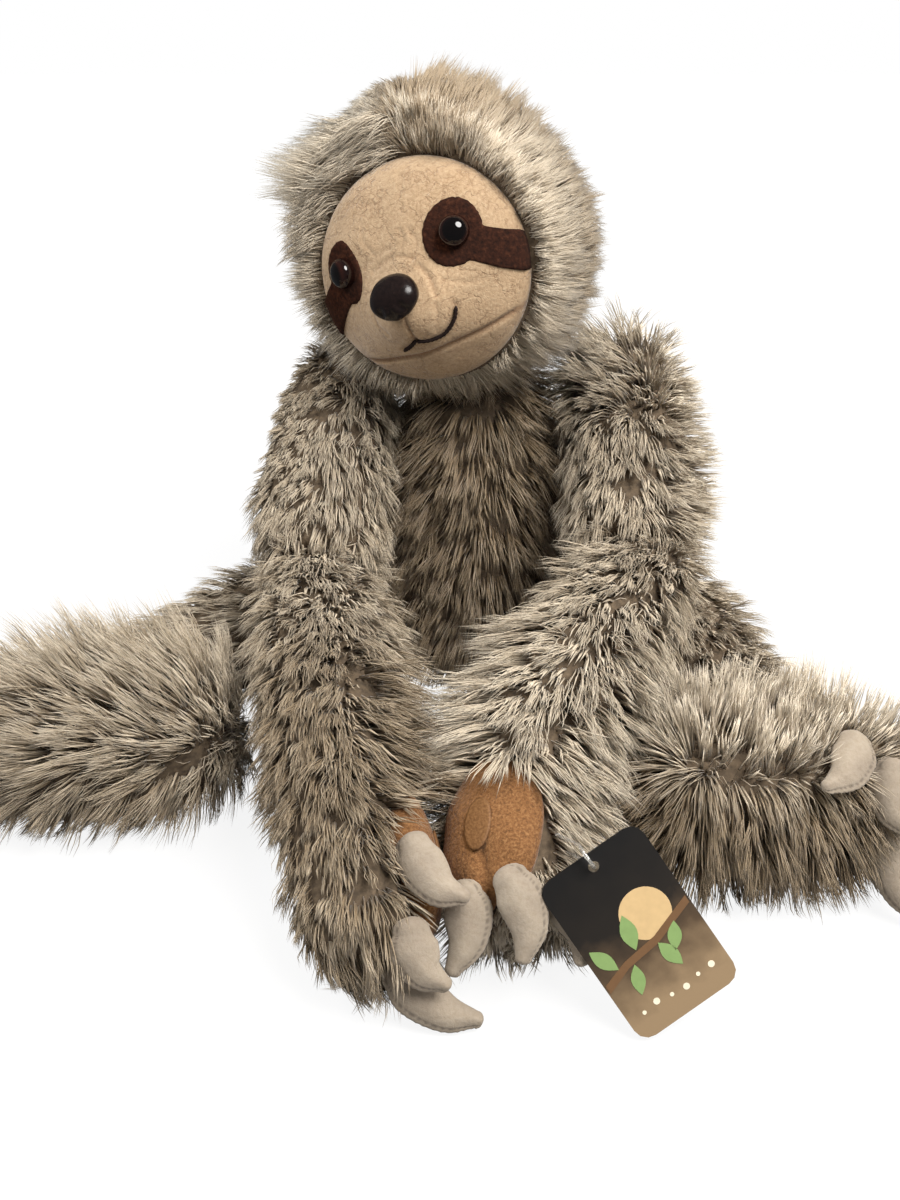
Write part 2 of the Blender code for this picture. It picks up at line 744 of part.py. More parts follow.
def make_upper_arm(side):
    shoulder = SHOULDERS[side]
    axis = heading(*ARM_AIMS[side]["upper"])
    bulge = Vector((side * 3 * MM, 0, 0))
    cuff = ELBOWS[side] - axis * ELBOW_CUFF
    stations = [
        (shoulder, SHOULDER_RADIUS, SHOULDER_RADIUS),
        (shoulder + axis * UPPER_ARM_LENGTH * 0.42 + bulge, UPPER_ARM_HALF, UPPER_ARM_HALF),
        (cuff, ELBOW_RADIUS + CUFF_WALL, ELBOW_RADIUS + CUFF_WALL),
    ]
    arm = stuffed_form(SIDE_NAMES[side] + "_upper_arm", stations, plush(), end=0.2)
    dimple(arm, ELBOWS[side], ELBOW_RADIUS)
    return arm


def hand_stations(side):
    elbow = ELBOWS[side]
    axis = heading(*ARM_AIMS[side]["fore"])
    wrist = WRISTS[side]
    hand = HANDS[side]
    return [
        (elbow, ELBOW_RADIUS, ELBOW_RADIUS),
        (elbow + axis * FOREARM_LENGTH * 0.45, FOREARM_HALF, FOREARM_HALF),
        (wrist, HAND_HALF_WIDTH * 0.96, HAND_HALF_DEPTH),
        (wrist.lerp(hand, 0.55), HAND_HALF_WIDTH, HAND_HALF_DEPTH),
        (hand, HAND_HALF_WIDTH * 0.9, HAND_HALF_DEPTH),
    ]


def hand_form(name, side, look=None, grow=0.0):
    return stuffed_form(name, hand_stations(side), look, end=0.8, grow=grow)


def make_forearm(side):
    arm = hand_form(SIDE_NAMES[side] + "_forearm", side, plush())
    stand_flat(arm)
    return arm


PALM_FACINGS = {-1: (1, 0.1, 0.2), 1: (-0.52, -0.32, 0.8)}


def palm_frame(side):
    """The palm faces up, ahead and towards the other hand."""
    wrist = WRISTS[side]
    hand = HANDS[side]
    along = (hand - wrist).normalized()
    facing = Vector(PALM_FACINGS[side])
    out = (facing - along * facing.dot(along)).normalized()
    centre = wrist.lerp(hand, 0.72)
    surface = centre + out * ((HAND_HALF_WIDTH + HAND_HALF_DEPTH) / 2 - PALM_SINK)
    return placed((surface, along.cross(out), along, out))


def ellipsoid(name, frame, halves, look=None, segments=20):
    shape = bmesh.new()
    bmesh.ops.create_uvsphere(shape, u_segments=segments, v_segments=segments // 2, radius=1)
    bmesh.ops.scale(shape, vec=halves, verts=shape.verts)
    bmesh.ops.transform(shape, matrix=frame, verts=shape.verts)
    mesh = bpy.data.meshes.new(name)
    shape.to_mesh(mesh)
    shape.free()
    mesh.shade_smooth()
    return add_object(name, mesh, look)


def palm_halves(grow=0.0):
    return Vector((PALM_HALF_WIDTH + grow, PALM_HALF_LENGTH + grow, PALM_CROWN + grow))


def crown_patch(name, frame, low, high, look, rings=2, sides=20):
    """An oval of tape that follows the palm's crown, between two heights above it."""
    turn = 2 * math.pi * np.arange(sides) / sides
    share = np.arange(1, rings + 1)[:, None] / rings
    x = share * np.cos(turn) * FASTENER_HALF_WIDTH
    y = share * np.sin(turn) * FASTENER_HALF_LENGTH
    crown = PALM_CROWN * np.sqrt(1 - (x / PALM_HALF_WIDTH) ** 2 - (y / PALM_HALF_LENGTH) ** 2)
    points = []
    faces = []
    for height in (low, high):
        base = len(points)
        points.append((0, 0, PALM_CROWN + height))
        points += list(np.stack([x, y, crown + height], axis=-1).reshape(-1, 3))
        faces += [(base, base + 1 + k, base + 1 + (k + 1) % sides) for k in range(sides)]
        for r in range(rings - 1):
            a = base + 1 + r * sides
            for k in range(sides):
                n = (k + 1) % sides
                faces.append((a + k, a + sides + k, a + sides + n, a + n))
    lower = 1 + (rings - 1) * sides
    upper = lower + 1 + rings * sides
    for k in range(sides):
        n = (k + 1) % sides
        faces.append((lower + k, lower + n, upper + n, upper + k))
    patch = add_object(name, mesh_of(name, points, faces), look)
    patch.data.transform(frame)
    return patch


def make_palm(side):
    frame = palm_frame(side)
    name = SIDE_NAMES[side]
    palm = ellipsoid(name + "_palm", frame, palm_halves(), palm_plush())
    combine(palm, hand_form("hand_grown_cutter", side, grow=SEWN_GAP))
    tape = "loop" if side == 1 else "hook"
    low = 1.3 * SEWN_GAP
    crown_patch(name + "_palm_" + tape + "_patch", frame, low, low + FASTENER_THICKNESS, hook_tape())
    return palm


# Claws

def surface_of(obj):
    """The surface of a cutter, to seat other pieces on."""
    mesh = guide(obj).data
    return BVHTree.FromPolygons([v.co for v in mesh.vertices], [tuple(p.vertices) for p in mesh.polygons])


def is_clear(points, surfaces):
    for surface in surfaces:
        for point in points:
            near, normal, index, distance = surface.find_nearest(point)
            if (point - near).dot(normal) < 0:
                return False
    return True


def make_claw(name, root, tip, bend, surfaces):
    """A felt claw from its root to its blunt tip, bowed along bend, moved out until it lies on the paw."""
    bow = Vector(bend).normalized() * CLAW_CURVE
    stations = [
        (root, CLAW_HALF_WIDTH * 0.9, CLAW_HALF_THICKNESS * 0.9),
        (root.lerp(tip, 0.25) + bow * 0.7, CLAW_HALF_WIDTH, CLAW_HALF_THICKNESS),
        (root.lerp(tip, 0.65) + bow, CLAW_HALF_WIDTH * 0.76, CLAW_HALF_THICKNESS * 0.95),
        (tip, CLAW_TIP_HALF, CLAW_TIP_HALF * 0.8),
    ]
    claw = stuffed_form(name, stations, felt(), cap=2, sides=10, start=0.3, end=0.8, across=bend)
    near, out, index, distance = surfaces[0].find_nearest(root)
    points = [v.co.copy() for v in claw.data.vertices]
    shift = Vector((0, 0, 0))
    while not is_clear([point + shift for point in points], surfaces):
        shift += out * SEATING_STEP
    claw.data.transform(Matrix.Translation(shift))
    return claw


# Places of the claws from the hand's end: root and tip in mm, and the way they bow, which lies across them
HAND_CLAWS = {
    -1: [
        ((12, 3, 24.5), (27.5, -13, 17.5), (-0.58, -0.5, -0.62)),
        ((10, -12, 9.5), (20, -19, -5), (-0.78, -0.37, -0.47)),
        ((11, -14, -6), (35.5, -20, -19), (-0.44, -0.57, -0.69)),
    ],
    1: [
        ((7, -13, 13), (14, -22, -6), (0.9, 0.3, 0.2)),
        ((-10.5, -13, 11), (-14, -25, -9), (1, 0, 0.1)),
        ((-3, -15, 18.5), (1, -27, -2), (0.96, 0.11, 0.16)),
    ],
}


def make_hand_claws(side):
    name = SIDE_NAMES[side]
    hand = surface_of(hand_form("hand_grown_guide", side, grow=1.5 * SEWN_GAP))
    palm = surface_of(ellipsoid("palm_grown_guide", palm_frame(side), palm_halves(SEWN_GAP)))
    for number, (root, tip, bend) in enumerate(HAND_CLAWS[side], 1):
        start = HANDS[side] + Vector(root) * MM
        end = HANDS[side] + Vector(tip) * MM
        make_claw("%s_hand_claw_%d" % (name, number), start, end, bend, (hand, palm))


# Legs and feet

# How far the leg's curve and the ankle lie aside and ahead of the hip, as shares of the leg's length,
# and half the leg's width there, as a share of its greatest
LEG_BENDS = {
    -1: [(-0.29, -0.137, 1.0), (-0.65, -0.325, 0.76)],
    1: [(0.222, -0.24, 1.0), (0.342, -0.547, 0.86)],
}
ANKLE_REACH = {-1: (-0.803, -0.598), 1: (0.376, -0.897)}
FOOT_HEADINGS = {-1: -82, 1: 90}
ANKLES = {}
FEET = {}
for side in (-1, 1):
    aside, ahead = (share * LEG_LENGTH for share in ANKLE_REACH[side])
    ANKLES[side] = HIPS[side] + Vector((aside, ahead, ANKLE_HEIGHT - HIP_HEIGHT))
    toe = heading(FOOT_HEADINGS[side], 0)
    front = Vector((toe.y, -toe.x, 0)) * side
    FEET[side] = ANKLES[side] + front * (FOOT_HALF_WIDTH + ANKLE_OUT)
    FEET[side].z = FOOT_HALF_HEIGHT - REST_FLAT


def leg_form(name, side, look=None, grow=0.0):
    hip = HIPS[side]
    ankle = ANKLES[side]
    stations = [(hip, HIP_RADIUS, HIP_RADIUS)]
    for aside, ahead, share in LEG_BENDS[side]:
        half = LEG_HALF * share
        place = hip + Vector((aside, ahead, 0)) * LEG_LENGTH
        place.z = half - REST_FLAT
        stations.append((place, half, half))
    stations.append((ankle, ANKLE_RADIUS, ANKLE_RADIUS))
    return stuffed_form(name, stations, look, grow=grow)


def make_leg(side):
    leg = leg_form(SIDE_NAMES[side] + "_leg", side, plush())
    stand_flat(leg)
    return leg


def foot_form(name, side, look=None, grow=0.0):
    """The foot lies on its side: heel in towards the middle, toes out."""
    toe = heading(FOOT_HEADINGS[side], 0)
    centre = FEET[side]
    heel_reach = FOOT_HALF_LENGTH - FOOT_HALF_WIDTH * 0.92
    stations = [
        (centre - toe * heel_reach, FOOT_HALF_WIDTH * 0.92, FOOT_HALF_HEIGHT * 0.93),
        (centre - toe * heel_reach * 0.3, FOOT_HALF_WIDTH, FOOT_HALF_HEIGHT),
        (centre + toe * heel_reach * 0.5, FOOT_HALF_WIDTH * 0.96, FOOT_HALF_HEIGHT * 0.97),
        (centre + toe * heel_reach * 1.2, FOOT_HALF_WIDTH * 0.72, FOOT_HALF_HEIGHT * 0.8),
    ]
    return stuffed_form(name, stations, look, grow=grow)


def make_foot(side):
    foot = foot_form(SIDE_NAMES[side] + "_foot", side, plush())
    dimple(foot, ANKLES[side], ANKLE_RADIUS)
    stand_flat(foot)
    return foot


# Places on the foot, as parts along the toes, backwards and up
FOOT_CLAWS = {
    -1: [
        ((44, -8, 15), (68, -16, 9), (0.2, 1, 0.3)),
        ((48, -10, 0), (72, -18, -7), (0.2, 1, 0)),
        ((43, -8, -15), (66, -17, -22), (0.2, 1, -0.3)),
    ],
    1: [
        ((20, -12, 25), (7, -30, 19), (0.8, -0.5, -0.33)),
        ((31, -14.5, 16), (35, -28, 1), (-0.94, 0.16, -0.26)),
        ((36.5, -18, -4), (43, -32, -25), (-0.94, 0.1, -0.2)),
    ],
}


def make_foot_claws(side):
    """Three claws at the toe end, one above the other."""
    toe = heading(FOOT_HEADINGS[side], 0)
    front = Vector((toe.y, -toe.x, 0)) * side
    name = SIDE_NAMES[side]
    foot = surface_of(foot_form("foot_grown_guide", side, grow=1.5 * SEWN_GAP))
    for number, rows in enumerate(FOOT_CLAWS[side], 1):
        root, tip, bend = (toe * x - front * y + UP * z for x, y, z in rows)
        start = FEET[side] + root * MM
        end = FEET[side] + tip * MM
        make_claw("%s_foot_claw_%d" % (name, number), start, end, bend, (foot,))


# Hang tag

TAG_LOW_CORNER = Vector((HANDS[1].x + TAG_ASIDE, HANDS[1].y - TAG_AHEAD, TAG_RISE))
TAG_ALONG = Vector((31, 10, 19)).normalized()
TAG_LEAN = Vector((-34, 19, 45))


def tag_frame():
    """The card's frame: X along its foot, Y up the card, Z out of its printed face."""
    up = (TAG_LEAN - TAG_ALONG * TAG_LEAN.dot(TAG_ALONG)).normalized()
    return placed((TAG_LOW_CORNER, TAG_ALONG, up, TAG_ALONG.cross(up)))


def make_tag():
    shape = bmesh.new()
    ring = []
    corners = [(TAG_WIDTH, 0), (TAG_WIDTH, TAG_HEIGHT), (0, TAG_HEIGHT), (0, 0)]
    for k, (x, y) in enumerate(corners):
        cx = min(max(x, TAG_CORNER), TAG_WIDTH - TAG_CORNER)
        cy = min(max(y, TAG_CORNER), TAG_HEIGHT - TAG_CORNER)
        for step in range(4):
            angle = math.pi / 2 * (k - 1 + step / 3)
            ring.append((cx + TAG_CORNER * math.cos(angle), cy + TAG_CORNER * math.sin(angle)))
    bottom = [shape.verts.new((x, y, 0)) for x, y in ring]
    top = [shape.verts.new((x, y, TAG_THICKNESS)) for x, y in ring]
    shape.faces.new(reversed(bottom))
    shape.faces.new(top)
    for k in range(len(ring)):
        n = (k + 1) % len(ring)
        shape.faces.new((bottom[k], bottom[n], top[n], top[k]))
    mesh = bpy.data.meshes.new("tag_card")
    shape.to_mesh(mesh)
    shape.free()
    tag = add_object("tag_card", mesh, card())
    tag.data.transform(tag_frame())
    return combine(tag, drill(hole_frame(), TAG_HOLE_RADIUS, CUT_MARGIN / 2, -CUT_MARGIN / 2))


def hole_frame():
    """The middle of the hole in the card's axes."""
    middle = Vector((TAG_WIDTH / 2, TAG_HEIGHT - TAG_HOLE_INSET, TAG_THICKNESS / 2))
    return tag_frame() @ Matrix.Translation(middle)


def make_tag_loop():
    """A plastic loop out of the hand, through the hole, over the card's edge and back into the hand."""
    frame = hole_frame()
    hole = frame.to_translation()
    to_hand = (WRISTS[1].lerp(HANDS[1], 0.6) - hole).normalized() * LOOP_REACH
    bow = [(0, -2.5), (0, 0), (0.3, 2.2), (1.6, 4.4), (4.2, 5.2), (6.6, 4), (7.6, 1.2), (7.4, -2.2)]
    path = [frame @ Vector((0, y * MM, z * MM)) for y, z in bow]
    path = [hole + to_hand, *path, path[-1] + to_hand]
    stations = [(place, LOOP_WIRE, LOOP_WIRE) for place in path]
    loop = stuffed_form(
        "tag_loop", stations, washer_plastic(), steps=1, sides=8, start=0, end=0, across=TAG_ALONG
    )
    return combine(loop, hand_form("hand_grown_cutter", 1, grow=SEWN_GAP))


def make_all():
    make_torso()
    make_face()
    for side in (-1, 1):
        make_upper_arm(side)
        make_forearm(side)
        make_palm(side)
        make_hand_claws(side)
        make_leg(side)
        make_foot(side)
        make_foot_claws(side)
    make_tag()
    make_tag_loop()


for old in list(bpy.data.objects):
    bpy.data.objects.remove(old, do_unlink=True)
make_all()
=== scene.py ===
"""A sitting long-pile plush sloth: its fur, velour face, felt claws and the studio it is shown in.

+Z is up, the sloth faces -Y and its left side is at +X. Sizes are in metres, and MM is a millimetre.
"""

import math

import bpy
import numpy as np
from mathutils import Matrix, Vector


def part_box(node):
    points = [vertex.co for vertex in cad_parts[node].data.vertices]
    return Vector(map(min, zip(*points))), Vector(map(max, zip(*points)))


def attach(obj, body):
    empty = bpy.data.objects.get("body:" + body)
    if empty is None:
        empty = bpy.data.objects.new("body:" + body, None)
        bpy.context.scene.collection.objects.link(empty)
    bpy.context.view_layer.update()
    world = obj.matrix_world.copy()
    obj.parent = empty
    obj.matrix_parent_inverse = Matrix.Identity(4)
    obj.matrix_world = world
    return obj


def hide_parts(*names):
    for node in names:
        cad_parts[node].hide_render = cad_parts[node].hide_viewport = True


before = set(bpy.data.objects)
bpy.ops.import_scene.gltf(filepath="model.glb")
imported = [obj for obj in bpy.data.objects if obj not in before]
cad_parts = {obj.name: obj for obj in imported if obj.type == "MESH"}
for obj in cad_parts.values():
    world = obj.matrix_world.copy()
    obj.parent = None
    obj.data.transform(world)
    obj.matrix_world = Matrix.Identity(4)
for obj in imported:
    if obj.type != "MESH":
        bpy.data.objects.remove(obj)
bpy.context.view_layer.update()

MM = 0.001
UP = np.array([0.0, 0.0, 1.0])
DOWN = -UP
DRIFT_WAVES = 7


# Small helpers on rows of vectors

def unit(rows):
    """Each row divided by its length."""
    return rows / np.maximum(np.linalg.norm(rows, axis=-1, keepdims=True), 1e-12)


def dot(a, b):
    """The products of the rows of a and b, as a column."""
    return (a * b).sum(axis=-1, keepdims=True)


def ease(x, low, high):
    """Rises smoothly from 0 at low to 1 at high."""
    t = np.clip((x - low) / (high - low), 0, 1)
    return t * t * (3 - 2 * t)


def over(x, low, high):
    """Rises smoothly from 0 to 1 between two places in mm."""
    return ease(x, low * MM, high * MM)


def bell(x, width):
    """A bell curve, 1 where x is 0 and 1/e where it is width."""
    return np.exp(-((x / width) ** 2))


def ring_angles(sides):
    """The angles of the corners of a ring."""
    return 2 * math.pi * np.arange(sides) / sides


def heading(turn, drop):
    """A unit vector, turned in degrees from -Y towards +X and dropped below level."""
    a = math.radians(turn)
    b = math.radians(drop)
    return np.array([math.sin(a) * math.cos(b), -math.cos(a) * math.cos(b), -math.sin(b)])


def drift(points, size, seed):
    """A smooth random vector field: sums of sine waves about size long, each in a random direction."""
    rng = np.random.default_rng(seed)
    rows = points.reshape(-1, 3)
    out = np.zeros_like(rows)
    for k in range(DRIFT_WAVES):
        direction = unit(rng.normal(size=3))
        phase = rng.uniform(0, 2 * math.pi)
        length = size * rng.uniform(0.7, 1.5)
        push = unit(rng.normal(size=3))
        out += np.sin(rows @ direction * (2 * math.pi / length) + phase)[:, None] * push
    return (out * (1.6 / DRIFT_WAVES)).reshape(points.shape)


def apply(matrix, points):
    """Points, in an array of any shape, moved by a 4 by 4 matrix."""
    m = np.array(matrix)
    return (points.reshape(-1, 3) @ m[:3, :3].T + m[:3, 3]).reshape(points.shape)


def turn_only(matrix, vectors):
    """Vectors turned by a 4 by 4 matrix, without its shift."""
    return vectors @ np.array(matrix)[:3, :3].T


def columns(*axes):
    """The 4 by 4 matrix of a frame, from its X, Y and Z directions and its place."""
    m = Matrix.Identity(4)
    for k, axis in enumerate(axes):
        for i in range(3):
            m[i][k] = axis[i]
    return m


def close_ends(grid):
    """Draws the first and the last ring of a grid together into points."""
    grid[0] = grid[0].mean(axis=0)
    grid[-1] = grid[-1].mean(axis=0)


# Meshes from grids

def mesh_object(name, points, corners, starts, look):
    """An object from points, the corners of its faces in one row, and where each face starts in it."""
    mesh = bpy.data.meshes.new(name)
    mesh.vertices.add(len(points))
    mesh.vertices.foreach_set("co", np.ascontiguousarray(points, np.float32).ravel())
    mesh.loops.add(len(corners))
    mesh.loops.foreach_set("vertex_index", np.ascontiguousarray(corners, np.int32))
    mesh.polygons.add(len(starts))
    mesh.polygons.foreach_set("loop_start", np.ascontiguousarray(starts, np.int32))
    mesh.update(calc_edges=True)
    mesh.validate()
    mesh.shade_smooth()
    mesh.materials.append(look)
    obj = bpy.data.objects.new(name, mesh)
    bpy.context.scene.collection.objects.link(obj)
    return obj


def add_values(obj, name, values):
    """A number on each point of the mesh, which its material reads by name."""
    field = obj.data.attributes.new(name, "FLOAT", "POINT")
    field.data.foreach_set("value", np.ascontiguousarray(values, np.float32).ravel())


def closed_faces(rows, sides):
    """Faces of a grid of rings, rows by sides, whose first and last rings are single points."""
    ring = np.arange(sides)
    nxt = (ring + 1) % sides
    inner = rows - 2
    first = np.stack([np.zeros(sides, int), 1 + nxt, 1 + ring], axis=1).ravel()
    base = 1 + np.arange(inner - 1)[:, None] * sides
    quads = np.stack([base + ring, base + nxt, base + sides + nxt, base + sides + ring], axis=-1).ravel()
    top = 1 + (inner - 1) * sides
    last = np.stack([top + ring, top + nxt, np.full(sides, 1 + inner * sides)], axis=1).ravel()
    count = (inner - 1) * sides
    starts = np.concatenate([
        np.arange(sides) * 3,
        sides * 3 + np.arange(count) * 4,
        sides * 3 + count * 4 + np.arange(sides) * 3,
    ])
    return np.concatenate([first, quads, last]), starts


def signed_volume(points, corners, starts):
    """The volume within the faces, which is negative where they point inwards."""
    ends = np.append(starts[1:], len(corners))
    total = 0.0
    for size in (3, 4):
        rows = starts[(ends - starts) == size]
        for k in range(1, size - 1):
            a, b, c = points[corners[rows]], points[corners[rows + k]], points[corners[rows + k + 1]]
            total += (a * np.cross(b, c)).sum()
    return total


def grid_object(name, grid, look, values=None):
    """A closed piece from a grid of rings, its faces turned outwards. values are numbers on its points."""
    rows, sides = grid.shape[:2]
    keep = np.ones((rows, sides), bool)
    keep[0, 1:] = False
    keep[-1, 1:] = False
    points = grid[keep]
    corners, starts = closed_faces(rows, sides)
    if signed_volume(points - points.mean(axis=0), corners, starts) < 0:
        ends = np.append(starts[1:], len(corners))
        order = np.concatenate([np.arange(e - 1, s - 1, -1) for s, e in zip(starts, ends)])
        corners = corners[order]
    obj = mesh_object(name, points, corners, starts, look)
    for label, field in (values or {}).items():
        add_values(obj, label, np.broadcast_to(field, (rows, sides))[keep])
    return obj


def smooth_path(rows, steps):
    """Points on a Catmull-Rom curve through rows of numbers, steps of them from each row to the next."""
    rows = np.array(rows, float)
    ends = np.vstack([2 * rows[0] - rows[1], rows, 2 * rows[-1] - rows[-2]])
    t = np.linspace(0, 1, steps, endpoint=False)[:, None]
    found = []
    for i in range(len(rows) - 1):
        a, b, c, d = ends[i : i + 4]
        part = 2 * b + (c - a) * t + (2 * a - 5 * b + 4 * c - d) * t**2 + (3 * b - a - 3 * c + d) * t**3
        found.append(part / 2)
    found.append(rows[-1:])
    return np.vstack(found)


def stuffed_grid(stations, steps=7, cap=7, sides=48, start=1.0, end=1.0, grow=0.0, across=None):
    """A grid of rings that swells and tapers along a curve, and the way along it at each ring.

    A station is (centre, half width, half height). Each end is half an ellipsoid, start or end times as long
    as it is wide. Each ring is an ellipse, square to the curve, whose width is level or lies along across.
    """
    rows = [[*centre, a, b] for centre, a, b in stations]
    line = smooth_path(rows, steps)
    centres = line[:, :3]
    halves = np.maximum(line[:, 3:] + grow, 0.2 * MM)
    along = unit(np.gradient(centres, axis=0))
    level = np.cross(along, UP) if across is None else np.tile(np.array(across, float), (len(along), 1))
    level = unit(level - along * dot(level, along))
    rise = np.cross(level, along)
    angle = math.pi / 2 * np.arange(cap) / cap
    reach_start = max(halves[0].mean() * start, 1e-5)
    reach_end = max(halves[-1].mean() * end, 1e-5)
    index = np.concatenate([np.zeros(cap, int), np.arange(len(line)), np.full(cap, len(line) - 1)])
    shift = np.concatenate([
        -reach_start * np.cos(angle), np.zeros(len(line)), reach_end * np.cos(angle[::-1]),
    ])
    share = np.concatenate([np.sin(angle), np.ones(len(line)), np.sin(angle[::-1])])
    turn = ring_angles(sides)
    middle = centres[index] + along[index] * shift[:, None]
    wide = level[index] * (halves[index, :1] * share[:, None])
    high = rise[index] * (halves[index, 1:] * share[:, None])
    grid = middle[:, None] + np.cos(turn)[:, None] * wide[:, None] + np.sin(turn)[:, None] * high[:, None]
    return grid, along[index]


def grid_normals(grid, along):
    """Outward unit normals of a grid of rings: the cross product of the steps round it and along it."""
    wrapped = np.concatenate([grid[:, -1:], grid, grid[:, :1]], axis=1)
    around = wrapped[:, 2:] - wrapped[:, :-2]
    onward = np.gradient(grid, axis=0)
    normal = np.cross(around, onward)
    centre = grid.mean(axis=1, keepdims=True)
    if (normal * (grid - centre)).sum() < 0:
        normal = -normal
    normal = unit(normal)
    normal[0] = -along[0]
    normal[-1] = along[-1]
    return normal


# Colours and materials

NOISE, CELLS, RAMP = "ShaderNodeTexNoise", "ShaderNodeTexVoronoi", "ShaderNodeValToRGB"
MIX, BUMP, MATHS = "ShaderNodeMix", "ShaderNodeBump", "ShaderNodeMath"
FIELD, PLACE = "ShaderNodeAttribute", "ShaderNodeTexCoord"
# A colour mix's two inputs and its output, by number, and the settings of its two kinds
FIRST, SECOND, MIXED = 6, 7, 2
BLEND = {"data_type": "RGBA"}
TIMES = {"data_type": "RGBA", "blend_type": "MULTIPLY"}
WHITE = (1.0, 1.0, 1.0, 1.0)


def linear(code):
    """An sRGB hex colour as the linear numbers that a shader takes."""
    parts = np.array([int(code[k : k + 2], 16) for k in (1, 3, 5)]) / 255
    low = parts / 12.92
    high = ((parts + 0.055) / 1.055) ** 2.4
    return (*np.where(parts <= 0.04045, low, high), 1.0)


def node(tree, kind, values=None, links=None, stops=(), **settings):
    """Adds a node, sets its values and settings, and links its inputs: {input: (node, output)}.

    stops are those of a colour ramp, each a place and a hex colour.
    """
    made = tree.nodes.new(kind)
    for key, value in settings.items():
        setattr(made, key, value)
    for key, value in (values or {}).items():
        made.inputs[key].default_value = value
    for key, (source, output) in (links or {}).items():
        tree.links.new(source.outputs[output], made.inputs[key])
    if stops:
        bar = made.color_ramp.elements
        while len(bar) < len(stops):
            bar.new(0.5)
        for element, (place, code) in zip(bar, stops):
            element.position = place
            element.color = linear(code)
    return made


def new_material(name, roughness, **constants):
    """A material with its Principled shader, whose constant sockets are set by name."""
    made = bpy.data.materials.new(name)
    made.use_nodes = True
    tree = made.node_tree
    shader = tree.nodes["Principled BSDF"]
    shader.inputs["Roughness"].default_value = roughness
    for key, value in constants.items():
        shader.inputs[key.replace("_", " ")].default_value = value
    return made, tree, shader


def grain_of(size, detail=2.0, rough=0.5):
    """The values of a noise whose features are about size across."""
    return {"Scale": 0.6 / size, "Detail": detail, "Roughness": rough}


def paint(tree, shader, source, output="Color"):
    """The surface's colour comes from the source."""
    tree.links.new(source.outputs[output], shader.inputs["Base Color"])


def relief(tree, shader, *layers):
    """Raises the surface where sources are white. Each (source, depth, strength) lies over the one before."""
    under = {}
    for source, depth, strength in layers:
        made = node(tree, BUMP, {"Distance": depth, "Strength": strength}, {"Height": source, **under})
        under = {"Normal": (made, "Normal")}
    tree.links.new(made.outputs["Normal"], shader.inputs["Normal"])


def speckled(name, roughness, grain, stops, depth=0.0, strength=1.0, **constants):
    """A finish whose colour follows one fine noise, and so does its relief where it has a depth."""
    made, tree, shader = new_material(name, roughness, **constants)
    where = node(tree, PLACE)
    speck = node(tree, NOISE, grain, {"Vector": (where, "Object")})
    paint(tree, shader, node(tree, RAMP, links={"Fac": (speck, "Fac")}, stops=stops))
    if depth:
        relief(tree, shader, ((speck, "Fac"), depth, strength))
    return made


def polyester_pile():
    """Crimped polyester fibre, drawn and cut: browner at the backing, pale and silky towards the tip; the
    darker foot is partly painted shade among the roots, the pale tip partly painted light through it.

    Fine streaks run along each strand, which stands for several fibres side by side.
    """
    made, tree, shader = new_material("long_pile_polyester", 0.4, Sheen_Weight=0.12, Sheen_Roughness=0.35)
    place, tone, across = (node(tree, FIELD, attribute_name=name) for name in ("place", "tone", "across"))
    # Each tone has a row of the noise of its own, and a strand is five streaks wide
    row = node(tree, MATHS, {1: 61.0}, {0: (tone, "Fac")}, operation="MULTIPLY")
    wide = node(tree, MATHS, {1: 5.0}, {0: (across, "Fac")}, operation="MULTIPLY")
    spot = node(tree, "ShaderNodeCombineXYZ", links={"X": (wide, 0), "Y": (place, "Fac"), "Z": (row, 0)})
    streak = node(tree, NOISE, {"Scale": 1.0, "Detail": 1.0}, {"Vector": (spot, "Vector")})
    push = node(tree, MATHS, {1: 0.8, 2: -0.4}, {0: (streak, "Fac")}, operation="MULTIPLY_ADD")
    total = node(tree, MATHS, links={0: (tone, "Fac"), 1: (push, 0)}, operation="ADD", use_clamp=True)
    # The tone mixes a dark and a pale copy of the ramp; the forms' shade rules use it for painted light and
    # shade as well as for the fibre's own tone.
    dark, pale = (
        node(tree, RAMP, links={"Fac": (place, "Fac")}, stops=list(zip((0.0, 0.3, 0.75, 1.0), codes)))
        for codes in (
            ("#6f5c44", "#806d54", "#928067", "#a4927a"),
            ("#b5a58f", "#c1b29c", "#ccbfaa", "#d8ccb9"),
        )
    )
    both = node(tree, MIX, links={0: (total, 0), FIRST: (dark, "Color"), SECOND: (pale, "Color")}, **BLEND)
    paint(tree, shader, both, MIXED)
    return made


def pile_backing():
    """The knitted backing and the cut pile's foot, which shows only as shade between the locks."""
    stops = [(0.3, "#463b2f"), (0.7, "#665745")]
    return speckled("pile_backing", 0.95, grain_of(1.2 * MM, 3.0), stops, 0.6 * MM)


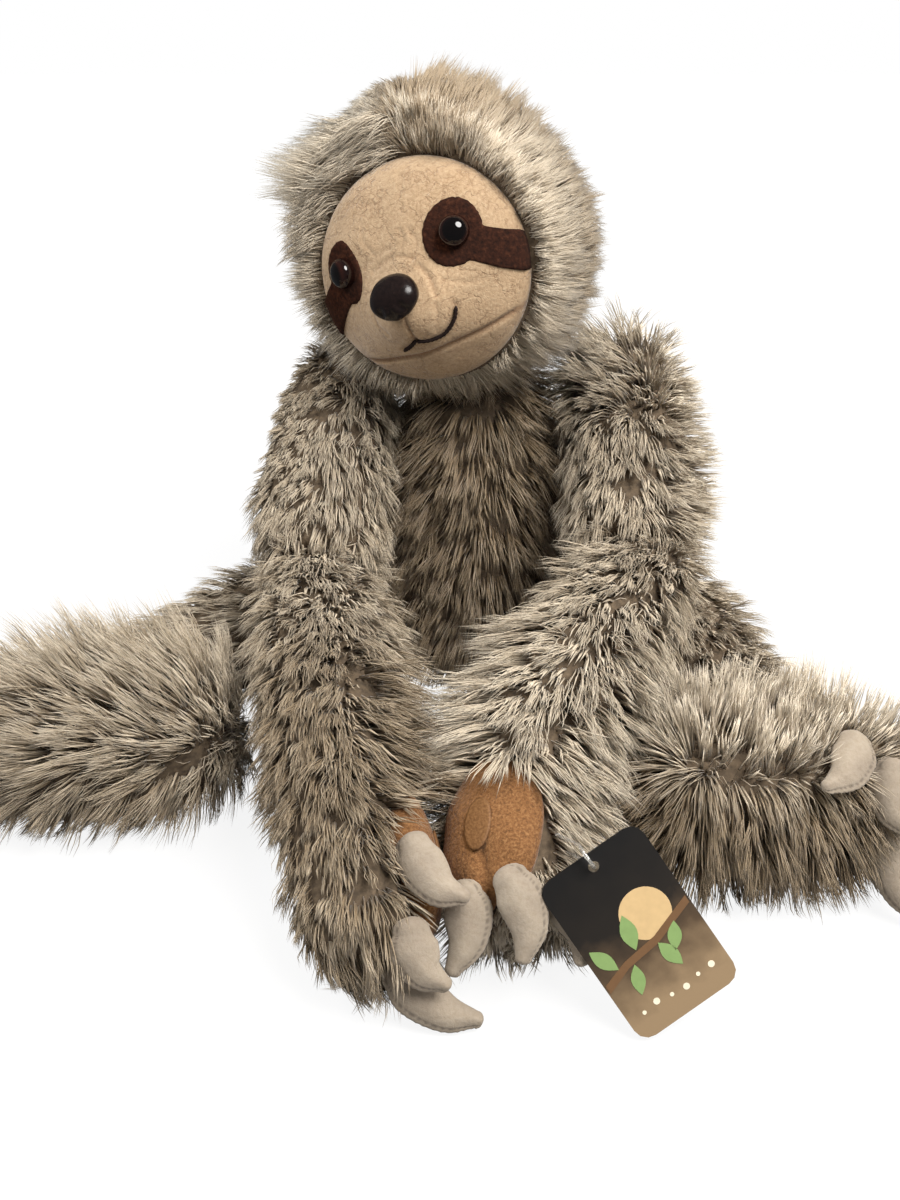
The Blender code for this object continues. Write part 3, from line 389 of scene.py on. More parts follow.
def velour():
    """Warp-knitted velour, brushed and sheared: a matt nap that parts in fine dark cracks where it bends.

    The cracks are the borders of small cells, drawn wavy, and show in some places more than in others.
    """
    made, tree, shader = new_material("face_velour", 0.9, Sheen_Weight=0.35, Sheen_Roughness=0.4)
    where = node(tree, PLACE)
    broad, nap, wave, broken, bends = (
        node(tree, NOISE, values, {"Vector": (where, "Object")}) for values in (
            grain_of(14 * MM), grain_of(0.7 * MM, 3.0, 0.6), grain_of(2.5 * MM, 3.0),
            grain_of(8 * MM, 1.0), grain_of(9 * MM, 5.0, 0.6),
        )
    )
    wavy = node(tree, MIX, {0: 0.004}, {4: (where, "Object"), 5: (wave, "Color")}, data_type="VECTOR")
    cells = {"Scale": 430.0, "Randomness": 1.0}
    cracks = node(tree, CELLS, cells, {"Vector": (wavy, 1)}, feature="DISTANCE_TO_EDGE")
    ground, line, share, fold = (node(tree, RAMP, links={"Fac": source}, stops=stops) for source, stops in (
        ((nap, "Fac"), [(0.25, "#9a8165"), (0.5, "#af9678"), (0.8, "#bfa98d")]),
        ((cracks, "Distance"), [(0.0, "#a88c70"), (0.09, "#ffffff")]),
        ((broken, "Fac"), [(0.5, "#101010"), (0.68, "#b0b0b0")]),
        ((bends, "Fac"), [(0.482, "#ffffff"), (0.5, "#9b7d60"), (0.518, "#ffffff")]),
    ))
    faded = node(tree, MIX, {FIRST: (0.8, 0.7, 0.58, 1.0), SECOND: WHITE}, {0: (broad, "Fac")}, **BLEND)
    tinted = node(tree, MIX, {0: 0.6}, {FIRST: (ground, "Color"), SECOND: (faded, MIXED)}, **TIMES)
    cracked = node(tree, MIX, {0: 1.0}, {FIRST: (tinted, MIXED), SECOND: (line, "Color")}, **TIMES)
    marked = {0: (share, "Color"), FIRST: (tinted, MIXED), SECOND: (cracked, MIXED)}
    marked = node(tree, MIX, links=marked, **BLEND)
    folded = node(tree, MIX, {0: 0.35}, {FIRST: (marked, MIXED), SECOND: (fold, "Color")}, **TIMES)
    # Darker brown in the seams and creases, as far as the crease field says.
    crease = node(tree, FIELD, attribute_name="crease")
    darker_in_grooves = {0: (crease, "Fac"), FIRST: (folded, MIXED)}
    paint(tree, shader, node(tree, MIX, {SECOND: linear("#6b4a31")}, darker_in_grooves, **BLEND), MIXED)
    layers = [((nap, "Fac"), 0.3, 0.7), ((line, "Color"), 0.3, 0.4), ((fold, "Color"), 0.4, 0.5)]
    relief(tree, shader, *((source, depth * MM, strength) for source, depth, strength in layers))
    return made


def patch_velour():
    """The same velour dyed dark brown, with fine paler specks: painted highlights where its nap catches the
    light.
    """
    stops = [(0.3, "#1b0b05"), (0.55, "#31180d"), (0.8, "#4a2b1b")]
    grain = grain_of(0.9 * MM, 3.0, 0.6)
    return speckled("eye_patch_velour", 0.95, grain, stops, 0.5 * MM, Specular_IOR_Level=0.25)


def curled_pile():
    """Short curled plush for the palms: small tight tufts with dark gaps between them."""
    made, tree, shader = new_material("palm_curled_plush", 0.9, Sheen_Weight=0.15, Sheen_Roughness=0.4)
    where = node(tree, PLACE)
    spot = {"Vector": (where, "Object")}
    tufts = node(tree, CELLS, {"Scale": 520.0, "Randomness": 1.0}, spot, feature="SMOOTH_F1")
    fibres = node(tree, NOISE, grain_of(0.5 * MM, 3.0, 0.6), spot)
    height = node(tree, MIX, {0: 0.5}, {FIRST: (tufts, "Distance"), SECOND: (fibres, "Fac")}, **BLEND)
    stops = [(0.3, "#57381b"), (0.5, "#764f2b"), (0.72, "#8f6841")]
    paint(tree, shader, node(tree, RAMP, links={"Fac": (fibres, "Fac")}, stops=stops))
    relief(tree, shader, ((height, MIXED), 0.9 * MM, 1.0))
    return made


def smooth_tape():
    """Woven nylon fastener tape, dyed to match the palm: a fine even grain."""
    stops = [(0.3, "#614122"), (0.7, "#7a5633")]
    return speckled("fastener_tape", 0.7, grain_of(0.5 * MM, 1.0), stops, 0.2 * MM)


def brushed_felt():
    """Brushed fleece felt for the claws: short matted fibres in paler and darker patches, dark stitches."""
    made, tree, shader = new_material("claw_felt", 0.92, Sheen_Weight=0.1, Sheen_Roughness=0.5)
    where = node(tree, PLACE)
    spot = {"Vector": (where, "Object")}
    broad = node(tree, NOISE, grain_of(9 * MM), spot)
    fibres = node(tree, NOISE, grain_of(0.8 * MM, 4.0, 0.65), spot)
    ground = node(tree, RAMP, links={"Fac": (broad, "Fac")}, stops=[(0.3, "#877b6d"), (0.65, "#9a8e7e")])
    speck = node(tree, RAMP, links={"Fac": (fibres, "Fac")}, stops=[(0.3, "#e0d8cb"), (0.6, "#ffffff")])
    both = node(tree, MIX, {0: 0.5}, {FIRST: (ground, "Color"), SECOND: (speck, "Color")}, **TIMES)
    stitch = node(tree, FIELD, attribute_name="stitch")
    sewn = {0: (stitch, "Fac"), FIRST: (both, MIXED)}
    paint(tree, shader, node(tree, MIX, {SECOND: linear("#4f443a")}, sewn, **BLEND), MIXED)
    relief(tree, shader, ((fibres, "Fac"), 0.35 * MM, 0.8))
    return made


def eye_acrylic():
    """Polished acrylic eye, dark amber round a black pupil that the clear dome magnifies."""
    made, tree, shader = new_material("eye_acrylic", 0.05, IOR=1.49)
    ring = node(tree, FIELD, attribute_name="radius")
    stops = [(0.0, "#050303"), (0.7, "#070404"), (0.86, "#24100b"), (1.0, "#120807")]
    paint(tree, shader, node(tree, RAMP, links={"Fac": (ring, "Fac")}, stops=stops))
    return made


def nose_plastic():
    """Moulded plastic nose with a fine leather grain from its mould."""
    stops = [(0.35, "#120c0b"), (0.7, "#1e1513")]
    gloss = {"IOR": 1.46, "Specular_IOR_Level": 0.35}
    return speckled("nose_plastic", 0.24, grain_of(0.7 * MM), stops, 0.12 * MM, 0.5, **gloss)


def embroidery_thread():
    """Trilobal polyester thread, twisted, dark brown."""
    stops = [(0.3, "#120907"), (0.7, "#24130e")]
    return speckled("embroidery_thread", 0.75, grain_of(0.35 * MM), stops, 0.15 * MM, Specular_IOR_Level=0.3)


def loop_nylon():
    """Clear nylon, moulded, a little milky."""
    stops = [(0.3, "#d9d6cf"), (0.7, "#ece9e2")]
    return speckled("loop_nylon", 0.2, grain_of(4 * MM), stops, Transmission_Weight=0.85)


def washer_acetal():
    """White acetal, moulded, slightly dull."""
    return speckled("washer_acetal", 0.45, grain_of(3 * MM), [(0.3, "#d8d8d2"), (0.7, "#ecebe6")])


# The toy's sizes, as its solids have them

NECK = np.array([0, 0, 122.0]) * MM
TORSO_ROWS = [(0, 38), (8.54, 46.5), (30.5, 50), (73.2, 47), (104.92, 43.5)]
TORSO_DEPTH_SHARE = 0.86
NECK_RADIUS = 32 * MM
HEAD_HALF = (61 * MM, 56 * MM, 61 * MM)
HEAD_LOW = 51 * MM
CREST_RISE = 8 * MM
HEAD_TURN, HEAD_LEAN, HEAD_NOD = (math.radians(a) for a in (24.5, 23, -3))
HOOD_OPENING = 24 * MM
FACE_HALF_WIDTH, FACE_HALF_HEIGHT, FACE_DROP = 46 * MM, 43.5 * MM, 2.5 * MM
FACE_CROWN, FACE_THICKNESS = 18 * MM, 2.2 * MM
MUZZLE_RISE, MUZZLE_HALF_WIDTH, MUZZLE_HALF_HEIGHT, MUZZLE_DROP = 12 * MM, 20 * MM, 15 * MM, 17 * MM
SKIN_SINK = 4 * MM

SHOULDERS = {-1: np.array([-62.18, -3, 127]) * MM, 1: np.array([62.18, -3, 132]) * MM}
UPPER_ARM_LENGTH, UPPER_ARM_HALF, SHOULDER_RADIUS = 101 * MM, 28 * MM, 25 * MM
ELBOW_RADIUS, ELBOW_CUFF, CUFF_WALL = 23 * MM, 17 * MM, 1.5 * MM
FOREARM_LENGTH, FOREARM_HALF = 96 * MM, 27 * MM
HAND_LENGTH, HAND_HALF_WIDTH, HAND_HALF_DEPTH = 52 * MM, 25 * MM, 26 * MM
REST_FLAT = 0.5 * MM
ARM_AIMS = {-1: ((-2, 32.5), (8, 12), (13, 22)), 1: ((0, 31), (-29, 13), (-9, 30))}
SIDE_NAMES = {-1: "right", 1: "left"}

HIPS = {-1: np.array([-62.16, -16.34, 30.5]) * MM, 1: np.array([62.16, -16.34, 30.5]) * MM}
LEG_LENGTH, LEG_HALF, HIP_RADIUS = 117 * MM, 29 * MM, 27 * MM
LEG_BENDS = {
    -1: [(-0.29, -0.137, 1.0), (-0.65, -0.325, 0.76)],
    1: [(0.222, -0.24, 1.0), (0.342, -0.547, 0.86)],
}
ANKLE_REACH = {-1: (-0.803, -0.598), 1: (0.376, -0.897)}
ANKLE_RADIUS, ANKLE_HEIGHT, ANKLE_OUT = 21 * MM, 27 * MM, 13 * MM
FOOT_HALF_LENGTH, FOOT_HALF_WIDTH, FOOT_HALF_HEIGHT = 56 * MM, 31 * MM, 33 * MM
FOOT_HEADINGS = {-1: -82, 1: 90}

# Where the limbs' joints and ends come, which way the toes point, and which way lies ahead of a foot
ELBOWS, WRISTS, HANDS, ANKLES, FEET, TOES, FRONTS = {}, {}, {}, {}, {}, {}, {}
for side in (-1, 1):
    upper, fore, hand = ARM_AIMS[side]
    ELBOWS[side] = SHOULDERS[side] + heading(*upper) * UPPER_ARM_LENGTH
    WRISTS[side] = ELBOWS[side] + heading(*fore) * FOREARM_LENGTH
    HANDS[side] = WRISTS[side] + heading(*hand) * HAND_LENGTH
    HANDS[side][2] = HAND_HALF_DEPTH - REST_FLAT
    aside, ahead = (share * LEG_LENGTH for share in ANKLE_REACH[side])
    ANKLES[side] = HIPS[side] + np.array([aside, ahead, ANKLE_HEIGHT - HIPS[side][2]])
    TOES[side] = heading(FOOT_HEADINGS[side], 0)
    FRONTS[side] = np.array([TOES[side][1], -TOES[side][0], 0]) * side
    FEET[side] = ANKLES[side] + FRONTS[side] * (FOOT_HALF_WIDTH + ANKLE_OUT)
    FEET[side][2] = FOOT_HALF_HEIGHT - REST_FLAT

HEAD_CENTRE = NECK + np.array([-14, -15, 72]) * MM
HEAD_FRAME = Matrix.Translation(Vector(HEAD_CENTRE)) @ (
    Matrix.Rotation(-HEAD_TURN, 3, "Z")
    @ Matrix.Rotation(HEAD_NOD, 3, "X")
    @ Matrix.Rotation(-HEAD_LEAN, 3, "Y")
).to_4x4()
HEAD_BACK = HEAD_FRAME.inverted()


# The stations of each stuffed form: places on its centre line, with its half width and half height there

def torso_stations():
    rows = [(np.array([0, 0, z * MM]), half * MM, half * TORSO_DEPTH_SHARE * MM) for z, half in TORSO_ROWS]
    return rows + [(NECK, NECK_RADIUS, NECK_RADIUS)]


def head_stations():
    half = HEAD_HALF[2]
    rows = [
        (-HEAD_LOW * 0.97, 0.26), (-HEAD_LOW * 0.8, 0.62), (-HEAD_LOW * 0.45, 0.9), (0.0, 1.0),
        (half * 0.45, 0.91), (half * 0.85, 0.6), ((half + CREST_RISE) * 0.97, 0.26),
    ]
    return [(np.array([0, 0, z]), HEAD_HALF[0] * share, HEAD_HALF[1] * share) for z, share in rows]


def upper_arm_stations(side):
    shoulder = SHOULDERS[side]
    axis = heading(*ARM_AIMS[side][0])
    bulge = np.array([side * 3 * MM, 0, 0])
    cuff = ELBOW_RADIUS + CUFF_WALL
    return [
        (shoulder, SHOULDER_RADIUS, SHOULDER_RADIUS),
        (shoulder + axis * UPPER_ARM_LENGTH * 0.42 + bulge, UPPER_ARM_HALF, UPPER_ARM_HALF),
        (ELBOWS[side] - axis * ELBOW_CUFF, cuff, cuff),
    ]


def forearm_stations(side):
    elbow, wrist, hand = ELBOWS[side], WRISTS[side], HANDS[side]
    axis = heading(*ARM_AIMS[side][1])
    return [
        (elbow, ELBOW_RADIUS, ELBOW_RADIUS),
        (elbow + axis * FOREARM_LENGTH * 0.45, FOREARM_HALF, FOREARM_HALF),
        (wrist, HAND_HALF_WIDTH * 0.96, HAND_HALF_DEPTH),
        (wrist + (hand - wrist) * 0.55, HAND_HALF_WIDTH, HAND_HALF_DEPTH),
        (hand, HAND_HALF_WIDTH * 0.9, HAND_HALF_DEPTH),
    ]


def leg_stations(side):
    hip = HIPS[side]
    rows = [(hip, HIP_RADIUS, HIP_RADIUS)]
    for aside, ahead, share in LEG_BENDS[side]:
        half = LEG_HALF * share
        place = hip + np.array([aside, ahead, 0]) * LEG_LENGTH
        place[2] = half - REST_FLAT
        rows.append((place, half, half))
    return rows + [(ANKLES[side], ANKLE_RADIUS, ANKLE_RADIUS)]


def foot_stations(side):
    toe = TOES[side]
    centre = FEET[side]
    reach = FOOT_HALF_LENGTH - FOOT_HALF_WIDTH * 0.92
    return [
        (centre - toe * reach, FOOT_HALF_WIDTH * 0.92, FOOT_HALF_HEIGHT * 0.93),
        (centre - toe * reach * 0.3, FOOT_HALF_WIDTH, FOOT_HALF_HEIGHT),
        (centre + toe * reach * 0.5, FOOT_HALF_WIDTH * 0.96, FOOT_HALF_HEIGHT * 0.97),
        (centre + toe * reach * 1.2, FOOT_HALF_WIDTH * 0.72, FOOT_HALF_HEIGHT * 0.8),
    ]


def depth_in(points, stations):
    """How far points lie inside a form: its radius there less the distance to its curve."""
    line = smooth_path([[*c, a, b] for c, a, b in stations], 4)
    best = np.full(len(points), -1.0)
    for a, b in zip(line[:-1], line[1:]):
        step = b[:3] - a[:3]
        t = np.clip((points - a[:3]) @ step / (step @ step), 0, 1)
        radius = a[3:].mean() * (1 - t) + b[3:].mean() * t
        gap = np.linalg.norm(points - a[:3] - t[:, None] * step, axis=1)
        best = np.maximum(best, radius - gap)
    return best


# Fur: closed, tapered strands in locks, rooted in the pile's backing

LONG_RINGS, SHORT_RINGS = (0.0, 0.4, 0.75), (0.0, 0.5)
TONES = 64
FLATNESS = 0.4
FUR_TOP, FUR_BACK = 278.5 * MM, 60 * MM
STRAY, TIP_DRAW = 0.07, 1.5
ROOT_SINK = 0.8 * MM
UNDER_LENGTH, UNDER_PAINTED_LIGHT = 0.62, 0.12
SKIN_FLOOR = 0.3 * MM


def strand_mesh(name, paths, facing, width, tone, stops, foot):
    """Flattened three-sided strands along paths: an array of strands by stops by 3, its last stop the tip.

    Each stop but the last has three corners, two at the strand's edges and one on its ridge, which lies on
    the side that facing gives, and all of them draw in towards the tip. foot is where along its colours each
    strand starts.
    """
    count = len(paths)
    rings = len(stops)
    rng = np.random.default_rng(len(name) * 1009 + count)
    tangents = unit(np.gradient(paths, axis=1))
    side = unit(np.cross(tangents, (facing + rng.normal(size=facing.shape) * 0.45)[:, None]))
    ridge = np.cross(side, tangents)
    ridge *= np.where(dot(ridge, facing[:, None]) < 0, -1.0, 1.0)
    thin = 1 - 0.7 * np.array(stops) ** 1.3
    radius = (width[:, None] * thin)[..., None] / 2
    edge = side[:, :rings] * radius
    middle = paths[:, :rings]
    peak = middle + ridge[:, :rings] * radius * FLATNESS * 2
    corners = np.stack([middle - edge, middle + edge, peak], axis=2)
    turned = dot(np.cross(edge * 2, ridge[:, :rings]), tangents[:, :rings])[:, 0, 0] < 0
    corners[turned] = corners[turned][:, :, [1, 0, 2]]
    points = np.concatenate([corners.reshape(count, rings * 3, 3), paths[:, -1:]], axis=1)
    each = rings * 3 + 1
    pattern = [0, 2, 1]
    for r in range(rings - 1):
        for k in range(3):
            n = (k + 1) % 3
            pattern += [r * 3 + k, r * 3 + n, r * 3 + 3 + n, r * 3 + 3 + k]
    top = (rings - 1) * 3
    for k in range(3):
        pattern += [top + k, top + (k + 1) % 3, each - 1]
    sizes = np.array([3] + [4] * (3 * (rings - 1)) + [3] * 3)
    first = np.concatenate([[0], np.cumsum(sizes)[:-1]])
    index = (np.arange(count)[:, None] * each + np.array(pattern)).ravel()
    starts = (np.arange(count)[:, None] * sizes.sum() + first).ravel()
    obj = mesh_object(name, points.reshape(-1, 3), index, starts, PILE)
    column = np.minimum(np.floor(tone * TONES), TONES - 1) / TONES
    place = np.concatenate([np.repeat(stops, 3), [1.0]])
    place = np.tile(foot + (1 - foot) * place, count)
    across = np.concatenate([np.tile([0.0, 1.0, 0.5], rings), [0.5]])
    add_values(obj, "place", place)
    add_values(obj, "across", np.tile(across, count))
    add_values(obj, "tone", np.repeat(column, each))
    # The map lays each strand in a column for its tone, with its foot at the bottom
    spots = np.stack([
        np.repeat(column, each) + np.tile(0.1 + 0.8 * across, count) / TONES,
        0.02 + 0.96 * place,
    ], axis=1)
    layer = obj.data.uv_layers.new(name="OFBake")
    layer.data.foreach_set("uv", np.ascontiguousarray(spots[index], np.float32).ravel())
    return obj


def value_at(rule, places):
    """A rule's values at places, or the same value at each."""
    return rule(places) if callable(rule) else np.full(len(places), rule)


def fur(name, body, grid, along, comb, strands, length, keep, shade, per=11, spread=1.9 * MM, gather=0.3,
        width=0.55 * MM, avoid=(), stops=LONG_RINGS, foot=0.2, patchy=0.8):
    """Locks of strands on a grid of rings.

    Lock centres fall evenly over the grid, and each lock's strands are rooted around its centre. A strand
    leaves along one direction and bends evenly into another, which comb gives from the place, the normal and
    the way along the form; it then draws in towards its lock's middle strand, more so towards the tip.
    """
    clumps = max(int(strands * DENSITY / per), 8)
    rng = np.random.default_rng(sum(map(ord, name)))
    rows, sides = grid.shape[:2]
    wrapped = np.concatenate([grid, grid[:, :1]], axis=1)
    normals = grid_normals(grid, along)
    normals = np.concatenate([normals, normals[:, :1]], axis=1)
    down = wrapped[1:] - wrapped[:-1]
    right = wrapped[:, 1:] - wrapped[:, :-1]
    area = np.linalg.norm(np.cross(down[:, :-1], right[:-1]), axis=-1)
    area += np.linalg.norm(np.cross(down[:, 1:], right[1:]), axis=-1)
    middle = (wrapped[1:, 1:] + wrapped[:-1, :-1]) / 2
    area = area * keep(middle.reshape(-1, 3)).reshape(area.shape)
    chance = area.ravel() / area.sum()
    cell = rng.choice(area.size, size=clumps, p=chance)
    lock_v = cell // sides + rng.random(clumps)
    lock_u = cell % sides + rng.random(clumps)

    def at(field, v, u):
        """The field at grid places v rows down and u round."""
        v = np.clip(v, 0, rows - 1 - 1e-6)
        i = v.astype(int)
        j = np.floor(u).astype(int) % sides
        fv = (v - i)[:, None]
        fu = (u - np.floor(u))[:, None]
        upper = field[i, j] * (1 - fu) + field[i, j + 1] * fu
        lower = field[i + 1, j] * (1 - fu) + field[i + 1, j + 1] * fu
        return upper * (1 - fv) + lower * fv

    # The strands' places around their lock's centre, in steps of the grid there
    i = np.minimum(lock_v.astype(int), rows - 2)
    j = np.floor(lock_u).astype(int) % sides
    step_v = np.maximum(np.linalg.norm(down[i, j], axis=-1), 0.15 * MM)
    step_u = np.maximum(np.linalg.norm(right[i, j], axis=-1), 0.15 * MM)
    owner = np.repeat(np.arange(clumps), per)
    radius = spread * rng.uniform(0.6, 1.4, clumps)
    shift = rng.normal(size=(len(owner), 2)) * 0.55
    shift[::per] = 0
    v = lock_v[owner] + shift[:, 0] * radius[owner] / step_v[owner]
    u = lock_u[owner] + shift[:, 1] * radius[owner] / step_u[owner]
    root = at(wrapped, v, u)
    normal = unit(at(normals, v, u))
    ways = np.repeat(along[:, None], sides + 1, axis=1)
    way = at(ways, v, u)
    way = unit(way - normal * dot(way, normal) + 1e-9)
    rise, lie = comb(root, normal, way)
    lean = drift(root, 26 * MM, 3) * 0.3 + drift(root, 9 * MM, 5) * 0.16
    stray = rng.normal(size=(clumps, 3))[owner] * 0.14 + rng.normal(size=root.shape) * STRAY
    rise = unit(rise + lean * 0.5 + stray * 0.7)
    lie = unit(lie + lean + stray + rng.normal(size=root.shape) * STRAY)
    reach = value_at(length, root)
    reach = reach * rng.uniform(0.82, 1.12, clumps)[owner] * rng.uniform(0.72, 1.05, len(root))
    root = root - normal * ROOT_SINK

    def place(t):
        """The strand's own curve: it leaves along rise and turns evenly into lie."""
        return root + reach[:, None] * (rise * (t - t * t / 2) + lie * (t * t / 2))

    # No strand rises above the top of the crest or reaches back beyond the seat's pile
    for axis, limit in ((2, FUR_TOP), (1, FUR_BACK)):
        room = limit - rng.random(len(root)) * 4 * MM - root[:, axis]
        climb = place(1.0)[:, axis] - root[:, axis]
        reach = reach * np.where(climb > room, np.maximum(room, 2 * MM) / np.maximum(climb, 1e-6), 1)
    # A strand that would run into a claw is shortened, and drawn into no lock
    fit = np.ones(len(root))
    for a, b, wide in avoid:
        span = b - a
        for t in (1.0, 0.8, 0.6, 0.4, 0.2):
            p = place(t)
            s = np.clip((p - a) @ span / (span @ span), 0, 1)
            near = np.linalg.norm(p - a - s[:, None] * span, axis=1) < wide
            fit = np.where(near, np.minimum(fit, t * 0.8), fit)
    reach = reach * fit
    every = (*stops, 1.0)
    paths = np.stack([place(t) for t in every], axis=1)
    lead = paths[::per][owner]
    draw = (np.array(every) ** TIP_DRAW)[:, None]
    draw = draw * np.minimum(gather * rng.uniform(0.6, 1.25, clumps), 0.95)[owner][:, None, None]
    paths = paths + draw * (lead - paths) * (fit > 0.99)[:, None, None]
    # The long strands are crimped at their middle
    if len(every) > 3:
        paths[:, 2] += rng.normal(size=(len(root), 3)) * 0.4 * MM
    # Those that would go through the floor lie on it
    low = 0.5 * MM + rng.random((len(root), 1)) * 0.8 * MM
    paths[..., 2] = np.where(paths[..., 2] < low, low + (paths[..., 2] - low) * 0.04, paths[..., 2])
    paths[..., 2] = np.maximum(paths[..., 2], 0.4 * MM)
    ok = (fit > 0.15) & np.isfinite(paths).all(axis=(1, 2)) & (keep(root) > 0)
    # The tone follows the form's shade rule, which in places is painted light and shade, with random mottle
    # on top.
    mottle = rng.normal(size=clumps)[owner] * 0.06 + drift(root, 30 * MM, 9)[:, 0] * 0.12
    tone = np.clip(value_at(shade, root) + mottle * patchy + rng.normal(size=len(root)) * 0.09, 0, 1)
    wide = width * rng.uniform(0.7, 1.3, len(root))
    obj = strand_mesh(name, paths[ok], normal[ok], wide[ok], tone[ok], np.array(stops), foot)
    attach(obj, body)
    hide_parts(body)


def coat(body, grid, along, comb, strands, under, length, keep, shade, pieces=1, avoid=(), **options):
    """The long pile in one or more pieces, and the shorter fibres between its locks.

    A stuffed form's solid has the same name as its body.
    """
    for k in range(pieces):
        name = body + "_fur" + ("_%d" % (k + 1) if pieces > 1 else "")
        fur(name, body, grid, along, comb, strands // pieces, length, keep, shade, avoid=avoid, **options)

    def short(p):
        return value_at(length, p) * UNDER_LENGTH

    # The shorter fibres are paler than the long pile: painted light against the shade between the locks.
    def under_painted_light(p):
        return value_at(shade, p) + UNDER_PAINTED_LIGHT

    fur(body + "_underfur", body, grid, along, comb, under, short, keep, under_painted_light, per=6, spread=3 * MM,
        width=1.2 * MM, avoid=avoid, stops=SHORT_RINGS, foot=options.get("foot", 0.35))


def skin(body, grid):
    """The stuffed form under the pile."""
    grid = grid.copy()
    grid[..., 2] = np.maximum(grid[..., 2], SKIN_FLOOR)
    obj = grid_object(body + "_skin", grid, BACKING)
    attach(obj, body)
    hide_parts(body)


def combed(stand, lay, fall, push=None):
    """A comb that stands strands up at the root and lays them along the form at the tip, where they fall."""
    def comb(place, normal, way):
        more = 0 if push is None else push(place, normal, way)
        rise = unit(normal * stand + way * lay * 0.45 + more * 0.5)
        lie = unit(normal * stand * 0.55 + way * lay + DOWN * fall + more)
        return rise, lie
    return comb


PILE = polyester_pile()
BACKING = pile_backing()
VELOUR = velour()
PATCH = patch_velour()
PALM = curled_pile()
TAPE = smooth_tape()
FELT = brushed_felt()
EYE = eye_acrylic()
NOSE = nose_plastic()
THREAD = embroidery_thread()
DENSITY = 1.0


# Torso

def head_ball(p):
    """Under 1 within the head's ellipsoid, and 1 on it."""
    x, y, z = apply(HEAD_BACK, p).T
    return (x / HEAD_HALF[0]) ** 2 + (y / HEAD_HALF[1]) ** 2 + (z / HEAD_LOW) ** 2


def make_torso():
    """A seat that narrows to the neck, lofted through its stations."""
    grid, along = stuffed_grid(torso_stations(), start=0.02, grow=-SKIN_SINK, across=(1, 0, 0))
    skin("torso", grid)

    def keep(p):
        """Not where the head, an arm or a leg covers the cloth, nor under the seat."""
        out = (head_ball(p) > 0.75) & (p[:, 2] > 2 * MM)
        for side in (-1, 1):
            out &= depth_in(p, upper_arm_stations(side)) < -1 * MM
            out &= depth_in(p, leg_stations(side)) < -1 * MM
        return out

    def push(p, normal, way):
        """Away from a parting down the middle."""
        return np.sign(p[:, :1]) * 0.3 * over(np.abs(p[:, :1]), 0, 12) * np.array([1.0, 0, 0])

    def painted_chest_shade(p):
        """Painted shade: the belly's pile is darker than the back's, where the head and arms shade the chest.
        """
        return 0.45 * over(p[:, 1], -30, 20) - 0.12

    comb = combed(stand=0.5, lay=-1.0, fall=0.2, push=push)
    coat("torso", grid, along, comb, 9500, 4000, 25 * MM, keep, painted_chest_shade, foot=0.0)


# Head

def face_share(x, z):
    """Under 1 within the face's oval, and 1 on its edge."""
    return (x / FACE_HALF_WIDTH) ** 2 + ((z + FACE_DROP) / FACE_HALF_HEIGHT) ** 2


